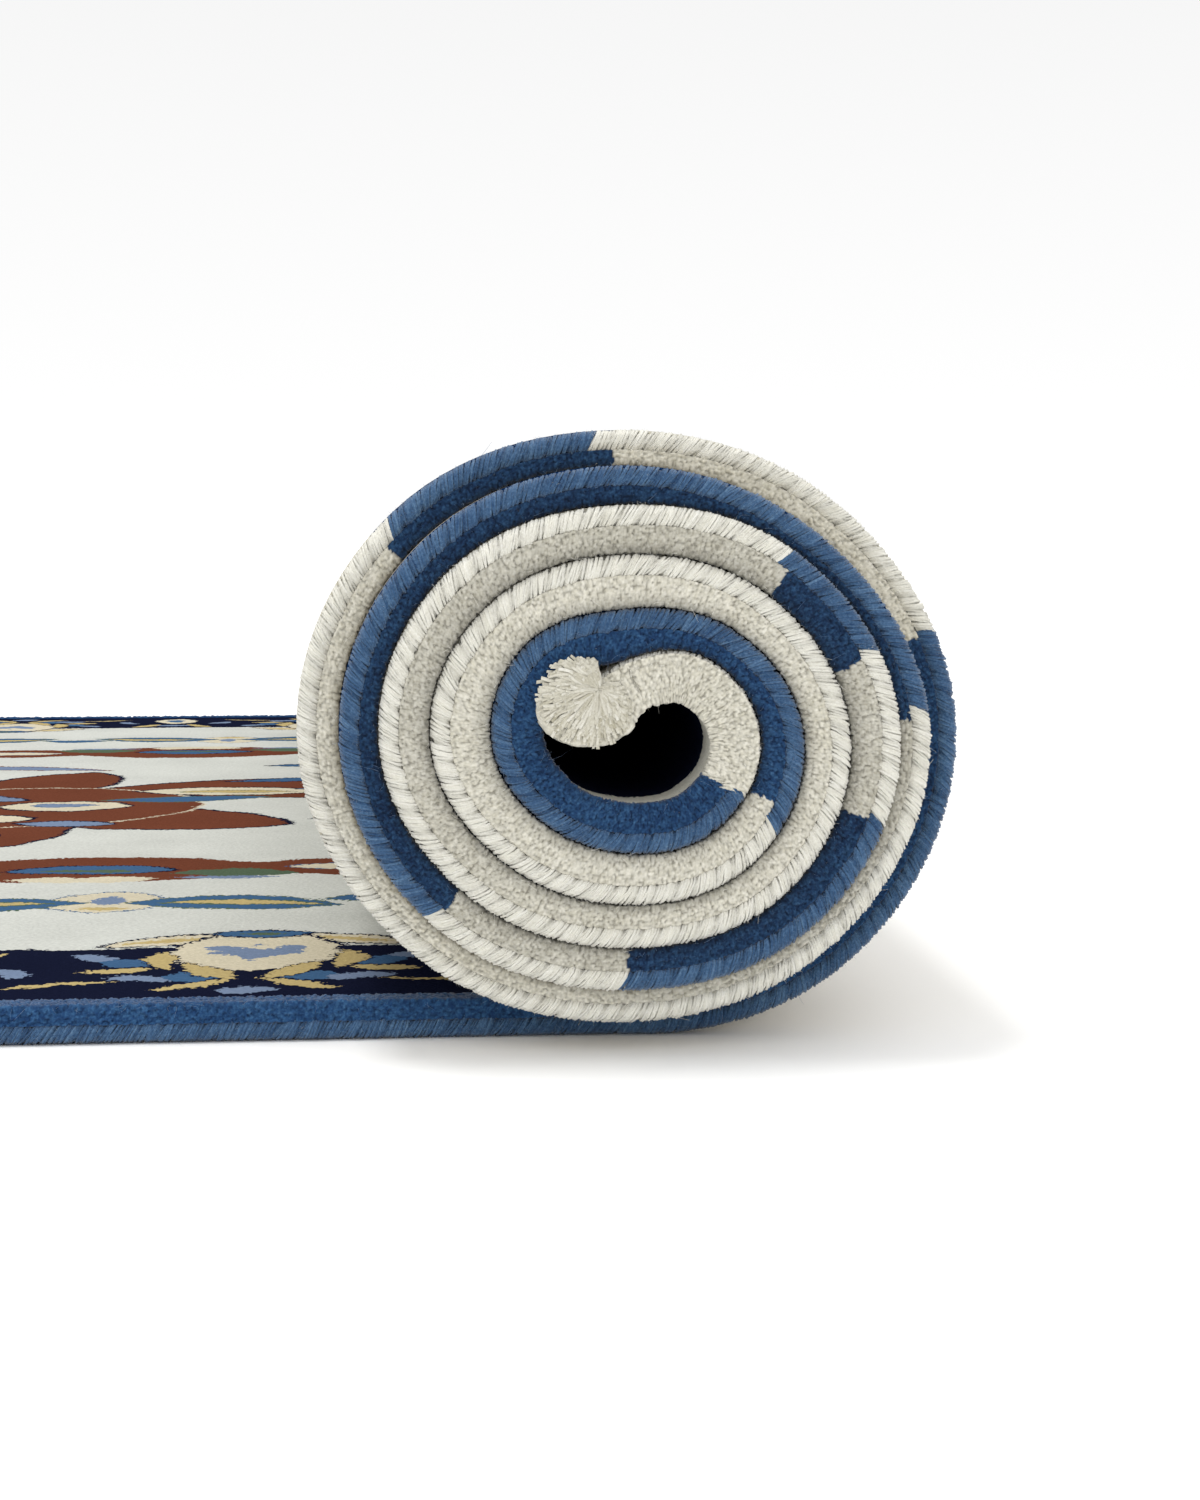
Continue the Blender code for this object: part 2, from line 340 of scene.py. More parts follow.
@dataclass(frozen=True)
class Small:
    """A small closed shape to be repeated: its corners, three numbers each, and its faces."""

    corners: Numbers
    faces: tuple[tuple[int, ...], ...]

    @staticmethod
    def shaft(sides: int, cuts: int, taper: float = 1.0) -> "Small":
        """A closed shaft one long that stands on the origin, with a foot of radius one.

        Args:
            sides: Its number of sides.
            cuts: Rings between its foot and its top.
            taper: Its radius at the top.

        Returns:
            The shape; the third number of each corner runs from 0 to 1 along it.
        """
        bm = bmesh.new()
        bmesh.ops.create_cone(
            bm, cap_ends=True, cap_tris=False, segments=sides, radius1=1.0, radius2=taper, depth=1.0
        )
        if cuts:
            rising = [e for e in bm.edges if abs(e.verts[0].co.z - e.verts[1].co.z) > 0.5]
            bmesh.ops.subdivide_edges(bm, edges=rising, cuts=cuts, use_grid_fill=True)
        bmesh.ops.recalc_face_normals(bm, faces=bm.faces)
        bm.verts.index_update()
        corners = np.array([(v.co.x, v.co.y, v.co.z + 0.5) for v in bm.verts])
        faces = tuple(tuple(v.index for v in face.verts) for face in bm.faces)
        bm.free()
        return Small(corners, faces)

    def repeated(
        self, name: str, places: Numbers, colours: Numbers, normals: Numbers | None = None
    ) -> bpy.types.Object:
        """Joins copies of the shape into one piece.

        Args:
            name: The piece's name.
            places: The corners' places, a row of corners for each copy.
            colours: Each copy's colour.
            normals: Which way each corner is shaded, where it isn't the faces' own way.

        Returns:
            The piece, linked to the scene.
        """
        copies, corners = places.shape[:2]
        loops = np.concatenate([np.array(face) for face in self.faces])
        sizes = np.array([len(face) for face in self.faces])
        shift = np.arange(copies)[:, None] * corners
        mesh = bpy.data.meshes.new(name)
        mesh.vertices.add(copies * corners)
        mesh.vertices.foreach_set("co", places.astype(np.float32).ravel())
        mesh.loops.add(copies * len(loops))
        mesh.loops.foreach_set("vertex_index", (loops[None] + shift).astype(np.int32).ravel())
        mesh.polygons.add(copies * len(sizes))
        starts = np.concatenate([[0], np.cumsum(sizes)[:-1]])
        starts = starts[None] + np.arange(copies)[:, None] * len(loops)
        mesh.polygons.foreach_set("loop_start", starts.astype(np.int32).ravel())
        mesh.update(calc_edges=True)
        paint(mesh, np.repeat(colours, corners, axis=0))
        mesh.shade_smooth()
        if normals is not None:
            mesh.normals_split_custom_set_from_vertices(normals.reshape(-1, 3).tolist())
        return link(name, mesh)


def paint(mesh: bpy.types.Mesh, colours: Numbers) -> None:
    """Gives each corner its wool colour, in the attribute that the finishes read.

    Args:
        mesh: The mesh.
        colours: A row of red, green and blue for each corner.
    """
    layer = mesh.color_attributes.new("dye", "FLOAT_COLOR", "POINT")
    rows = np.column_stack([colours, np.ones(len(colours))])
    layer.data.foreach_set("color", rows.astype(np.float32).ravel())


def link(name: str, mesh: bpy.types.Mesh) -> bpy.types.Object:
    """Puts a mesh into the scene at the origin.

    Args:
        name: The piece's name.
        mesh: The mesh.

    Returns:
        The piece.
    """
    piece = bpy.data.objects.new(name, mesh)
    bpy.context.scene.collection.objects.link(piece)
    return piece


def closed_skin(name: str, cut: Numbers, wool: Numbers, winding: Winding) -> bpy.types.Object:
    """Wraps a grid round a row of sections and closes its two ends.

    Args:
        name: The piece's name.
        cut: The corners in the flat cut, a row for each section and a column for each corner.
        wool: The corners' colours, in the same rows and columns.
        winding: Where the carpet lies.

    Returns:
        The piece; its attribute "cut" keeps where each corner is in the flat cut.
    """
    rings, corners = cut.shape[:2]
    bm = bmesh.new()
    bmesh.ops.create_grid(bm, x_segments=corners, y_segments=rings - 1, size=0.5)
    grid = np.array([v.co[:2] for v in bm.verts])
    column = np.rint((grid[:, 0] + 0.5) * corners).astype(int) % corners
    row = np.rint((grid[:, 1] + 0.5) * (rings - 1)).astype(int)
    flat = cut[row, column]
    shades = np.column_stack([wool[row, column], np.ones(len(row))])
    cut_layer = bm.verts.layers.float_vector.new("cut")
    dye_layer = bm.verts.layers.float_color.new("dye")
    for vert, at, shade, place in zip(bm.verts, flat, shades, winding.place(flat)):
        vert.co = place
        vert[cut_layer] = at
        vert[dye_layer] = shade
    seam = [v for v, x in zip(bm.verts, grid[:, 0]) if abs(x) > GRID_EDGE]
    bmesh.ops.remove_doubles(bm, verts=seam, dist=MERGE)
    bmesh.ops.holes_fill(bm, edges=[e for e in bm.edges if e.is_boundary], sides=0)
    bmesh.ops.recalc_face_normals(bm, faces=bm.faces)
    mesh = bpy.data.meshes.new(name)
    bm.to_mesh(mesh)
    bm.free()
    mesh.shade_smooth()
    return link(name, mesh)


def report(piece: bpy.types.Object) -> None:
    """Says how large a piece is."""
    triangles = sum(len(face.vertices) - 2 for face in piece.data.polygons)
    LOG.info("%s: %d triangles", piece.name, triangles)


class Nodes:
    """A short way to lay out a material's nodes."""

    def __init__(self, name: str) -> None:
        """Starts a material with its shader.

        Args:
            name: The material's name.
        """
        self.material = bpy.data.materials.new(name)
        self.material.use_nodes = True
        self.tree = self.material.node_tree
        self.shader = self.tree.nodes["Principled BSDF"]

    def add(
        self, kind: str, settings: dict[str, object] | None = None, **inputs: object
    ) -> bpy.types.Node:
        """Adds a node.

        Args:
            kind: Its type.
            settings: Its own settings.
            inputs: Values or sockets for its inputs, by name with _ for a blank.

        Returns:
            The node.
        """
        node = self.tree.nodes.new(kind)
        for key, value in (settings or {}).items():
            setattr(node, key, value)
        for key, value in inputs.items():
            self.feed(node.inputs[key.replace("_", " ")], value)
        return node

    def feed(self, socket: bpy.types.NodeSocket, value: object) -> None:
        """Links a socket to an input, or sets its value.

        Args:
            socket: The input.
            value: A socket, or what the input is set to.
        """
        if isinstance(value, bpy.types.NodeSocket):
            self.tree.links.new(value, socket)
        else:
            socket.default_value = value

    def math(self, operation: str, *values: object) -> bpy.types.NodeSocket:
        """Works out a sum.

        Args:
            operation: Its kind.
            values: Its numbers or sockets.

        Returns:
            The result.
        """
        node = self.tree.nodes.new("ShaderNodeMath")
        node.operation = operation
        for socket, value in zip(node.inputs, values):
            self.feed(socket, value)
        return node.outputs[0]

    def mix(
        self, share: object, first: object, second: object, kind: str = "MIX"
    ) -> bpy.types.NodeSocket:
        """Mixes two colours.

        Args:
            share: How much of the second is in the mix.
            first: The first colour, or its socket.
            second: The second.
            kind: How they are mixed.

        Returns:
            The mixed colour.
        """
        node = self.tree.nodes.new("ShaderNodeMix")
        node.data_type = "RGBA"
        node.blend_type = kind
        colours = [s for s in node.inputs if s.type == "RGBA"]
        self.feed(node.inputs[0], share)
        self.feed(colours[0], first)
        self.feed(colours[1], second)
        return next(s for s in node.outputs if s.type == "RGBA")

    def attribute(self, name: str) -> bpy.types.Node:
        """A piece's own attribute."""
        return self.add("ShaderNodeAttribute", {"attribute_name": name})

    def noise(self, where: object, scale: float, detail: float = 2.0) -> bpy.types.NodeSocket:
        """An even noise about a half."""
        node = self.add("ShaderNodeTexNoise", Vector=where, Scale=scale, Detail=detail)
        return node.outputs["Fac"]


@dataclass(frozen=True)
class Wool:
    """A wool finish that takes its colour from the piece: its sheen, mottling and fine relief."""

    name: str
    roughness: float = 0.92
    sheen: float = 0.25
    sheen_roughness: float = 0.5
    gloss: float = 0.15
    mottle: float = 0.8             # how strongly light and dark fibres differ
    even: float = 0.7               # the mean of the two noises, at which the dye stays as it is
    fibre: float = 1400.0           # scale of the single fibres
    cloud: float = 60.0             # scale of the broad unevenness
    cloud_share: float = 0.4
    relief: float = 0.0002

    def material(self) -> bpy.types.Material:
        """Builds the finish.

        Returns:
            The material; it reads the piece's attribute "dye".
        """
        nodes = Nodes(self.name)
        where = nodes.add("ShaderNodeTexCoord").outputs["Object"]
        dye = nodes.attribute("dye").outputs["Color"]
        fine = nodes.noise(where, self.fibre, 3.0)
        broad = nodes.noise(where, self.cloud, 2.0)
        both = nodes.math("ADD", fine, nodes.math("MULTIPLY", broad, self.cloud_share))
        depth = nodes.math("MULTIPLY_ADD", both, -self.mottle, 1.0 + self.mottle * self.even)
        colour = nodes.add("ShaderNodeGamma", Color=dye, Gamma=depth).outputs[0]
        bump = nodes.add("ShaderNodeBump", Strength=1.0, Distance=self.relief, Height=fine)
        nodes.feed(nodes.shader.inputs["Base Color"], colour)
        nodes.feed(nodes.shader.inputs["Normal"], bump.outputs[0])
        nodes.shader.inputs["Roughness"].default_value = self.roughness
        nodes.shader.inputs["Specular IOR Level"].default_value = self.gloss
        nodes.shader.inputs["Sheen Weight"].default_value = self.sheen
        nodes.shader.inputs["Sheen Roughness"].default_value = self.sheen_roughness
        return nodes.material


class EdgeRoute:
    """The closed line that the edge yarn is wound along, in the plane of the cut."""

    def __init__(self, winding: Winding, seam: float = 0.0003, diameter: float = 0.0062) -> None:
        """Lays the line out: q runs along the near edge first, then round all four.

        Args:
            winding: Gives the carpet's size.
            seam: How far the yarn stays within the carpet's size.
            diameter: Of the wound yarn.
        """
        self.radius = diameter / 2
        self.seat = self.radius + seam
        inset, quarter = diameter + seam, (diameter + seam - self.radius) * pi / 2
        self.corner = inset - self.radius
        start, end, side = inset, winding.length - inset, winding.width / 2 - inset
        long, short = end - start, side * 2
        self.q = np.cumsum([0, long, quarter, short, quarter, long, quarter, short, quarter])
        self.pivot_s = np.array([start, end, end, end, end, start, start, start, start])
        self.pivot_y = np.array([-side, -side, -side, side, side, side, side, -side, -side])
        self.heading = np.radians([0, 0, 90, 90, 180, 180, 270, 270, 360])
        self.near = float(self.q[2])
        self.length = float(self.q[-1])

    def cut(self, q: Numbers, out: Numbers, n: Numbers) -> Numbers:
        """Places beside the line.

        Args:
            q: How far along the line.
            out: How far outwards from the pivots of its corners.
            n: How high above the back.

        Returns:
            Rows of s, y and n.
        """
        q = np.mod(q, self.length)
        heading = np.interp(q, self.q, self.heading)
        s = np.interp(q, self.q, self.pivot_s) + out * np.sin(heading)
        y = np.interp(q, self.q, self.pivot_y) - out * np.cos(heading)
        return np.stack([s, y, n], -1)


@dataclass
class EdgeYarn:
    """The overcast edge: slanting yarn wound over the edge in bundles, round a plain core."""

    winding: Winding
    colours: ColourPlan
    pitch: float = 0.00069                          # from yarn to yarn on the near edge
    far_pitch: float = 0.00120                      # and on the other edges
    stray: float = 0.24                             # of a yarn from its place, in pitches
    half_width: float = 0.70                        # of a yarn, in pitches
    half_height: float = 0.44
    end_taper: float = 0.25                         # how much thinner a yarn is at its ends
    wrap_start: float = radians(-140)               # where a yarn comes out under the edge
    wrap_end: float = radians(108)                  # and where it goes into the pile
    crown_wrap: float = radians(24)                 # a bundle's middle goes that much further
    wrap_radius: float = 0.00274                    # from the edge's heart to a yarn's heart
    spread_up: float = 1.20                         # the wrap is that much taller than round
    spread_down: float = 1.12
    bundle: float = 0.0068                          # a bundle's mean length along the edge
    bundle_sizes: tuple[float, float] = (0.75, 1.25)
    bulges: tuple[float, float] = (0.00035, 0.00060)
    fullness: float = 0.7                           # of a bundle's rise; less is fuller
    groove: float = 0.00022                         # depth of the groove between bundles
    gather: float = 0.24                            # how far the yarns of a bundle draw together
    slant: float = 0.0021                           # how far a yarn leans along the edge
    slants: tuple[float, float] = (0.7, 1.25)       # of the bundles, against that
    slant_spread: float = 0.12                      # of the yarns in a bundle
    lump: float = 0.00010                           # how unevenly the yarns lie
    waves: tuple[float, float] = (0.8, 2.6)         # half waves along a yarn
    waver: float = 0.00022                          # how far they go sideways
    ripple: float = 0.00009                         # and up and down
    ripple_rate: float = 1.7
    tuck: float = 0.0007                            # how deep a yarn's last fifth dips in
    tuck_from: float = 0.8
    groove_shade: float = 0.86                        # painted shade: how dark the yarn is painted between bundles
    crown_light: float = 0.16                         # painted light: how much lighter it is painted on their middles
    unevenness: float = 0.07
    core_radius: float = 0.0026
    core_step: float = 0.004
    core_shade_power: float = 1.12                        # painted shade: the core is painted darker by this power of its dye and the factor below
    core_shade: float = 0.92
    roundness: float = 0.6                          # shading by the yarn's own sides
    near_cuts: int = 4
    far_cuts: int = 1
    random: np.random.Generator = field(default_factory=lambda: np.random.default_rng(SEED))

    def __post_init__(self) -> None:
        """Finds the line to wind along, and where the bundles part."""
        self.route = EdgeRoute(self.winding)
        count = int(self.route.length / self.bundle)
        sizes = self.random.uniform(*self.bundle_sizes, count)
        self.bounds = np.concatenate([[0.0], np.cumsum(sizes)])
        self.bounds *= self.route.length / self.bounds[-1]
        self.leans = self.slant * self.random.uniform(*self.slants, count)
        self.rises = self.random.uniform(*self.bulges, count)

    def _yarns(self, name: str, start: float, end: float, pitch: float, cuts: int) -> bpy.types.Object:
        """Winds the yarn along part of the route.

        Args:
            name: The piece's name.
            start: Where on the route it starts.
            end: Where it ends.
            pitch: From yarn to yarn.
            cuts: Rings between a yarn's two ends.

        Returns:
            The yarns as one piece.
        """
        random = self.random
        shape = Small.shaft(4, cuts)
        across, upward, share = (shape.corners[None, :, k] for k in range(3))
        q = np.arange(start, end, pitch)
        count = len(q)
        q = q + random.normal(0, self.stray, count) * pitch
        owner = np.clip(np.searchsorted(self.bounds, q, side="right") - 1, 0, len(self.leans) - 1)
        first, last = self.bounds[owner], self.bounds[owner + 1]
        crown = np.sin(pi * np.clip((q - first) / (last - first), 0, 1))[:, None] ** self.fullness
        angle = self.wrap_start + (self.wrap_end + self.crown_wrap * crown - self.wrap_start) * share
        front = 0.5 + 0.5 * np.sin(angle + 0.5)
        middle = self.wrap_radius + (self.rises[owner][:, None] * crown - self.groove) * front
        middle = middle + random.normal(0, self.lump, count)[:, None]
        waves, phase = random.uniform(*self.waves, count), random.uniform(0, 2, count)
        wave = pi * (share * waves[:, None] + phase[:, None])
        middle = middle + self.ripple * np.sin(wave * self.ripple_rate)
        middle = middle - self.tuck * np.clip((share - self.tuck_from) * 4, 0, 1) * (1.2 - crown)
        lean = self.leans[owner] * (1 + random.normal(0, self.slant_spread, count))
        shift = lean[:, None] * np.sin(np.clip(angle, -pi / 2, pi / 2))
        drawn = ((first + last) / 2 - q)[:, None] * self.gather * np.clip(share, 0, 1) ** 2
        swell = 1.0 - (2 * share - 1) ** 4 * self.end_taper
        along = q[:, None] + shift + drawn + self.waver * np.sin(wave)
        beside = -across * self.half_width * pitch * swell
        out = middle + upward * self.half_height * pitch * swell
        corner, seat = self.route.corner, self.route.seat
        cosine, sine = np.cos(angle), np.sin(angle)
        sine = sine * np.where(sine > 0, self.spread_up, self.spread_down)
        places = self.route.cut(along + beside, corner + out * cosine, seat + out * sine)
        wool = self.colours.edge(places[:, :, 0].mean(axis=1), Dye.BLUE, False)
        # painted shade in the grooves between bundles and painted light on their middles, with random
        # tone
        wool = uneven(wool * (self.groove_shade + self.crown_light * crown), random, self.unevenness)
        hearts = self.route.cut(along, corner + middle * cosine, seat + middle * sine)
        core = self.route.cut(along, corner + 0 * middle, seat + 0 * middle)
        places, hearts, core = (self.winding.place(cut) for cut in (places, hearts, core))
        own, outward = unit(places - hearts), unit(hearts - core)
        normals = unit(own * self.roundness + outward * (1 - self.roundness))
        return shape.repeated(name, places, np.clip(wool, 0, 1), normals)

    def _core(self) -> bpy.types.Object:
        """Makes the cord inside the yarn, which closes the gaps between its turns.

        Returns:
            The cord.
        """
        stretches = zip(self.route.q, self.route.q[1:])
        q = np.concatenate([np.arange(a, b, self.core_step) for a, b in stretches])
        flat = self.route.cut(q, np.full(len(q), self.route.corner), np.full(len(q), self.route.seat))
        places = self.winding.place(flat)
        curve = bpy.data.curves.new("edge_core", "CURVE")
        curve.dimensions = "3D"
        curve.bevel_depth = self.core_radius
        curve.bevel_resolution = 1
        spline = curve.splines.new("POLY")
        spline.points.add(len(q) - 1)
        spline.points.foreach_set("co", np.column_stack([places, np.ones(len(q))]).ravel())
        spline.use_cyclic_u = True
        draft = bpy.data.objects.new("edge_core_line", curve)
        mesh = bpy.data.meshes.new_from_object(draft)
        bpy.data.objects.remove(draft)
        sections = len(mesh.vertices) // len(q)
        # painted shade: the core shows only in the gaps between the yarns, so it is painted darker
        # than their dye
        wool = self.colours.edge(flat[:, 0], Dye.BLUE, False) ** self.core_shade_power * self.core_shade
        paint(mesh, np.repeat(wool, sections, axis=0))
        return link("edge_core", mesh)

    def build(self) -> list[bpy.types.Object]:
        """Makes the yarn, first of the near edge and then of the others, and the core.

        Returns:
            The three pieces.
        """
        near_end, end = self.route.near, self.route.length
        near = self._yarns("edge_yarn_near", 0.0, near_end, self.pitch, self.near_cuts)
        far = self._yarns("edge_yarn_far", near_end, end, self.far_pitch, self.far_cuts)
        pieces = [near, far, self._core()]
        finish = Wool("edge_wool", roughness=0.85, sheen=0.2, mottle=0.8).material()
        for piece in pieces:
            piece.data.materials.append(finish)
            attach(piece, "root")
            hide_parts(BINDING)
        return pieces


class Motif(NamedTuple):
    """A leaf or flower of the pattern, in mm: its place, turn in degrees, half length and half width.

    Round is 0 for a pointed leaf and 1 for an oval; line is the width of its outline.
    """

    u: float
    v: float
    turn: float
    length: float
    width: float
    fill: Dye
    line: float = 0.0
    edge: Dye = Dye.NAVY
    round: float = 0.0
    bow: float = 0.0


MAIN_BORDER = (
    Motif(34, 123, -25, 25, 8.5, Dye.CREAM, 2.0),
    Motif(35, 123, -25, 16, 3.5, Dye.STRAW),
    Motif(0, 100, 90, 40, 30, Dye.CREAM, 2.5, round=0.6),
    Motif(0, 96, 0, 18, 8, Dye.STEEL),
    Motif(0, 97, 90, 17, 8, Dye.STEEL),
    Motif(11, 104, 40, 9, 5, Dye.STEEL),
    Motif(0, 107, 0, 6, 4, Dye.CREAM),
    Motif(0, 136, 0, 19, 8, Dye.BLUE, 2.0),
    Motif(0, 137, 0, 9, 4, Dye.SAGE),
    Motif(20, 51, 10, 11, 9, Dye.BLUE, 1.5),
    Motif(17, 36, -33, 16, 4.5, Dye.STRAW, 1.0, bow=-2.0),
    Motif(15, 60, 60, 19, 5.5, Dye.STRAW, 1.0, bow=-2.5),
    Motif(43, 78, 25, 11, 9, Dye.BLUE, 1.5),
    Motif(46, 63, -10, 13, 4.5, Dye.STRAW, 1.0, bow=-2.0),
    Motif(33, 82, 85, 18, 5.5, Dye.STRAW, 1.0, bow=-2.0),
    Motif(0, 25, 0, 11, 5.5, Dye.STEEL, round=0.7),
    Motif(37, 49, 17, 11.5, 5.5, Dye.STEEL, round=0.7, bow=2.0),
    Motif(56, 89, 20, 10, 5.5, Dye.STEEL, round=0.7, bow=-2.0),
    Motif(83, 63, 50, 11, 5.5, Dye.STEEL, round=0.7, bow=2.0),
    Motif(64, 40, -15, 21, 2.4, Dye.STRAW, bow=2.0),
    Motif(100, 90, -50, 17, 5.0, Dye.STRAW, bow=2.0),
    Motif(119, 48, 90, 22, 15, Dye.CREAM, round=0.6),
    Motif(119, 46, 90, 12, 7, Dye.BLUE),
    Motif(119, 88, 0, 13, 6, Dye.STEEL, round=0.7),
)
FIELD_ROW = (
    Motif(0, 219, 90, 27, 24, Dye.CREAM, 1.5, Dye.BLUE, 0.5),
    Motif(0, 202, 0, 10, 4, Dye.STRAW),
    Motif(0, 222, 90, 12, 7, Dye.STEEL),
    Motif(52, 215, -8, 44, 17, Dye.BLUE, 1.5, Dye.SAGE, bow=4.0),
    Motif(56, 216, -8, 32, 5.5, Dye.STRAW, 2.0, Dye.SAGE, bow=4.0),
    Motif(108, 226, 24, 22, 8, Dye.BLUE, 1.5, Dye.SAGE, bow=-3.0),
)
CLOUD_ROW = (
    Motif(0, 315, 0, 92, 40, Dye.RUST, round=0.3),
    Motif(119, 318, 0, 62, 27, Dye.RUST, round=0.4),
    Motif(12, 283, 8, 20, 9, Dye.CREAM, round=0.4),
    Motif(0, 314, 0, 38, 13, Dye.BLUE, 1.5, Dye.NAVY, 0.3, 3.0),
    Motif(8, 310, 0, 14, 4, Dye.SAGE),
    Motif(66, 302, -6, 28, 12, Dye.SAGE, bow=3.0),
    Motif(62, 287, -4, 24, 4.5, Dye.STEEL),
    Motif(112, 318, 0, 24, 9, Dye.CREAM, 1.5, Dye.BLUE),
)
FIELD_FLOWERS = (
    Motif(250, 470, 62, 84, 34, Dye.RUST, 3.0, Dye.NAVY, 0.3, 12.0),
    Motif(322, 470, 100, 86, 44, Dye.RUST, 3.0, Dye.NAVY, 0.4, -8.0),
    Motif(392, 512, 150, 92, 46, Dye.RUST, 3.0, Dye.NAVY, 0.4, 10.0),
    Motif(200, 560, 12, 104, 44, Dye.RUST, 3.0, Dye.NAVY, 0.3, -12.0),
    Motif(482, 652, -6, 118, 52, Dye.RUST, 3.0, Dye.NAVY, 0.3, 12.0),
    Motif(330, 690, 80, 62, 36, Dye.RUST, 3.0, Dye.NAVY, 0.3, 6.0),
    Motif(330, 568, 0, 96, 92, Dye.RUST, 2.0, Dye.CREAM, 0.8),
    Motif(352, 566, 0, 34, 22, Dye.CREAM, 2.5, Dye.NAVY, 0.7),
    Motif(350, 570, 0, 17, 8, Dye.STEEL, 1.5, Dye.BLUE, 0.4),
    Motif(303, 507, 6, 38, 20, Dye.CREAM, 2.5, Dye.NAVY, 0.7),
    Motif(362, 486, -4, 24, 11, Dye.STEEL, 2.0, Dye.NAVY, 0.4),
    Motif(264, 452, 62, 44, 12, Dye.STEEL, 2.0, Dye.NAVY, bow=5.0),
    Motif(322, 436, 96, 36, 12, Dye.CREAM, 2.0, Dye.NAVY, bow=-3.0),
    Motif(282, 612, -14, 46, 17, Dye.STEEL, 2.0, Dye.NAVY, 0.4, 4.0),
    Motif(416, 596, 8, 46, 12, Dye.BLUE, 2.0, Dye.SAGE, bow=-4.0),
    Motif(438, 636, -3, 52, 20, Dye.CREAM, 2.5, Dye.NAVY, 0.5),
    Motif(440, 634, -3, 32, 6, Dye.STRAW, 1.5, Dye.SAGE),
    Motif(520, 656, 10, 44, 13, Dye.STEEL, 2.0, Dye.NAVY, bow=4.0),
    Motif(484, 700, 14, 52, 10, Dye.BLUE, 2.0, Dye.NAVY, bow=-3.0),
    Motif(232, 566, 14, 34, 15, Dye.CREAM, 2.0, Dye.NAVY, 0.5),
    Motif(166, 640, -28, 48, 10, Dye.CREAM, 2.0, Dye.NAVY, bow=4.0),
    Motif(92, 466, -24, 48, 14, Dye.BLUE, 2.0, Dye.NAVY, bow=6.0),
    Motif(94, 467, -24, 30, 4, Dye.STRAW, bow=4.0),
    Motif(520, 520, 30, 40, 12, Dye.SAGE, 1.5, Dye.NAVY, bow=4.0),
    Motif(588, 560, 90, 46, 22, Dye.STEEL, 2.5, Dye.NAVY, 0.4),
    Motif(588, 560, 90, 28, 9, Dye.CREAM, 1.5, Dye.STRAW, 0.4),
    Motif(290, 782, -10, 64, 10, Dye.STEEL, 2.0, Dye.RUST, bow=8.0),
    Motif(512, 790, 10, 60, 12, Dye.BLUE, 2.0, Dye.NAVY, bow=-6.0),
    Motif(100, 764, 24, 50, 12, Dye.SAGE, 2.0, Dye.NAVY, bow=6.0),
)


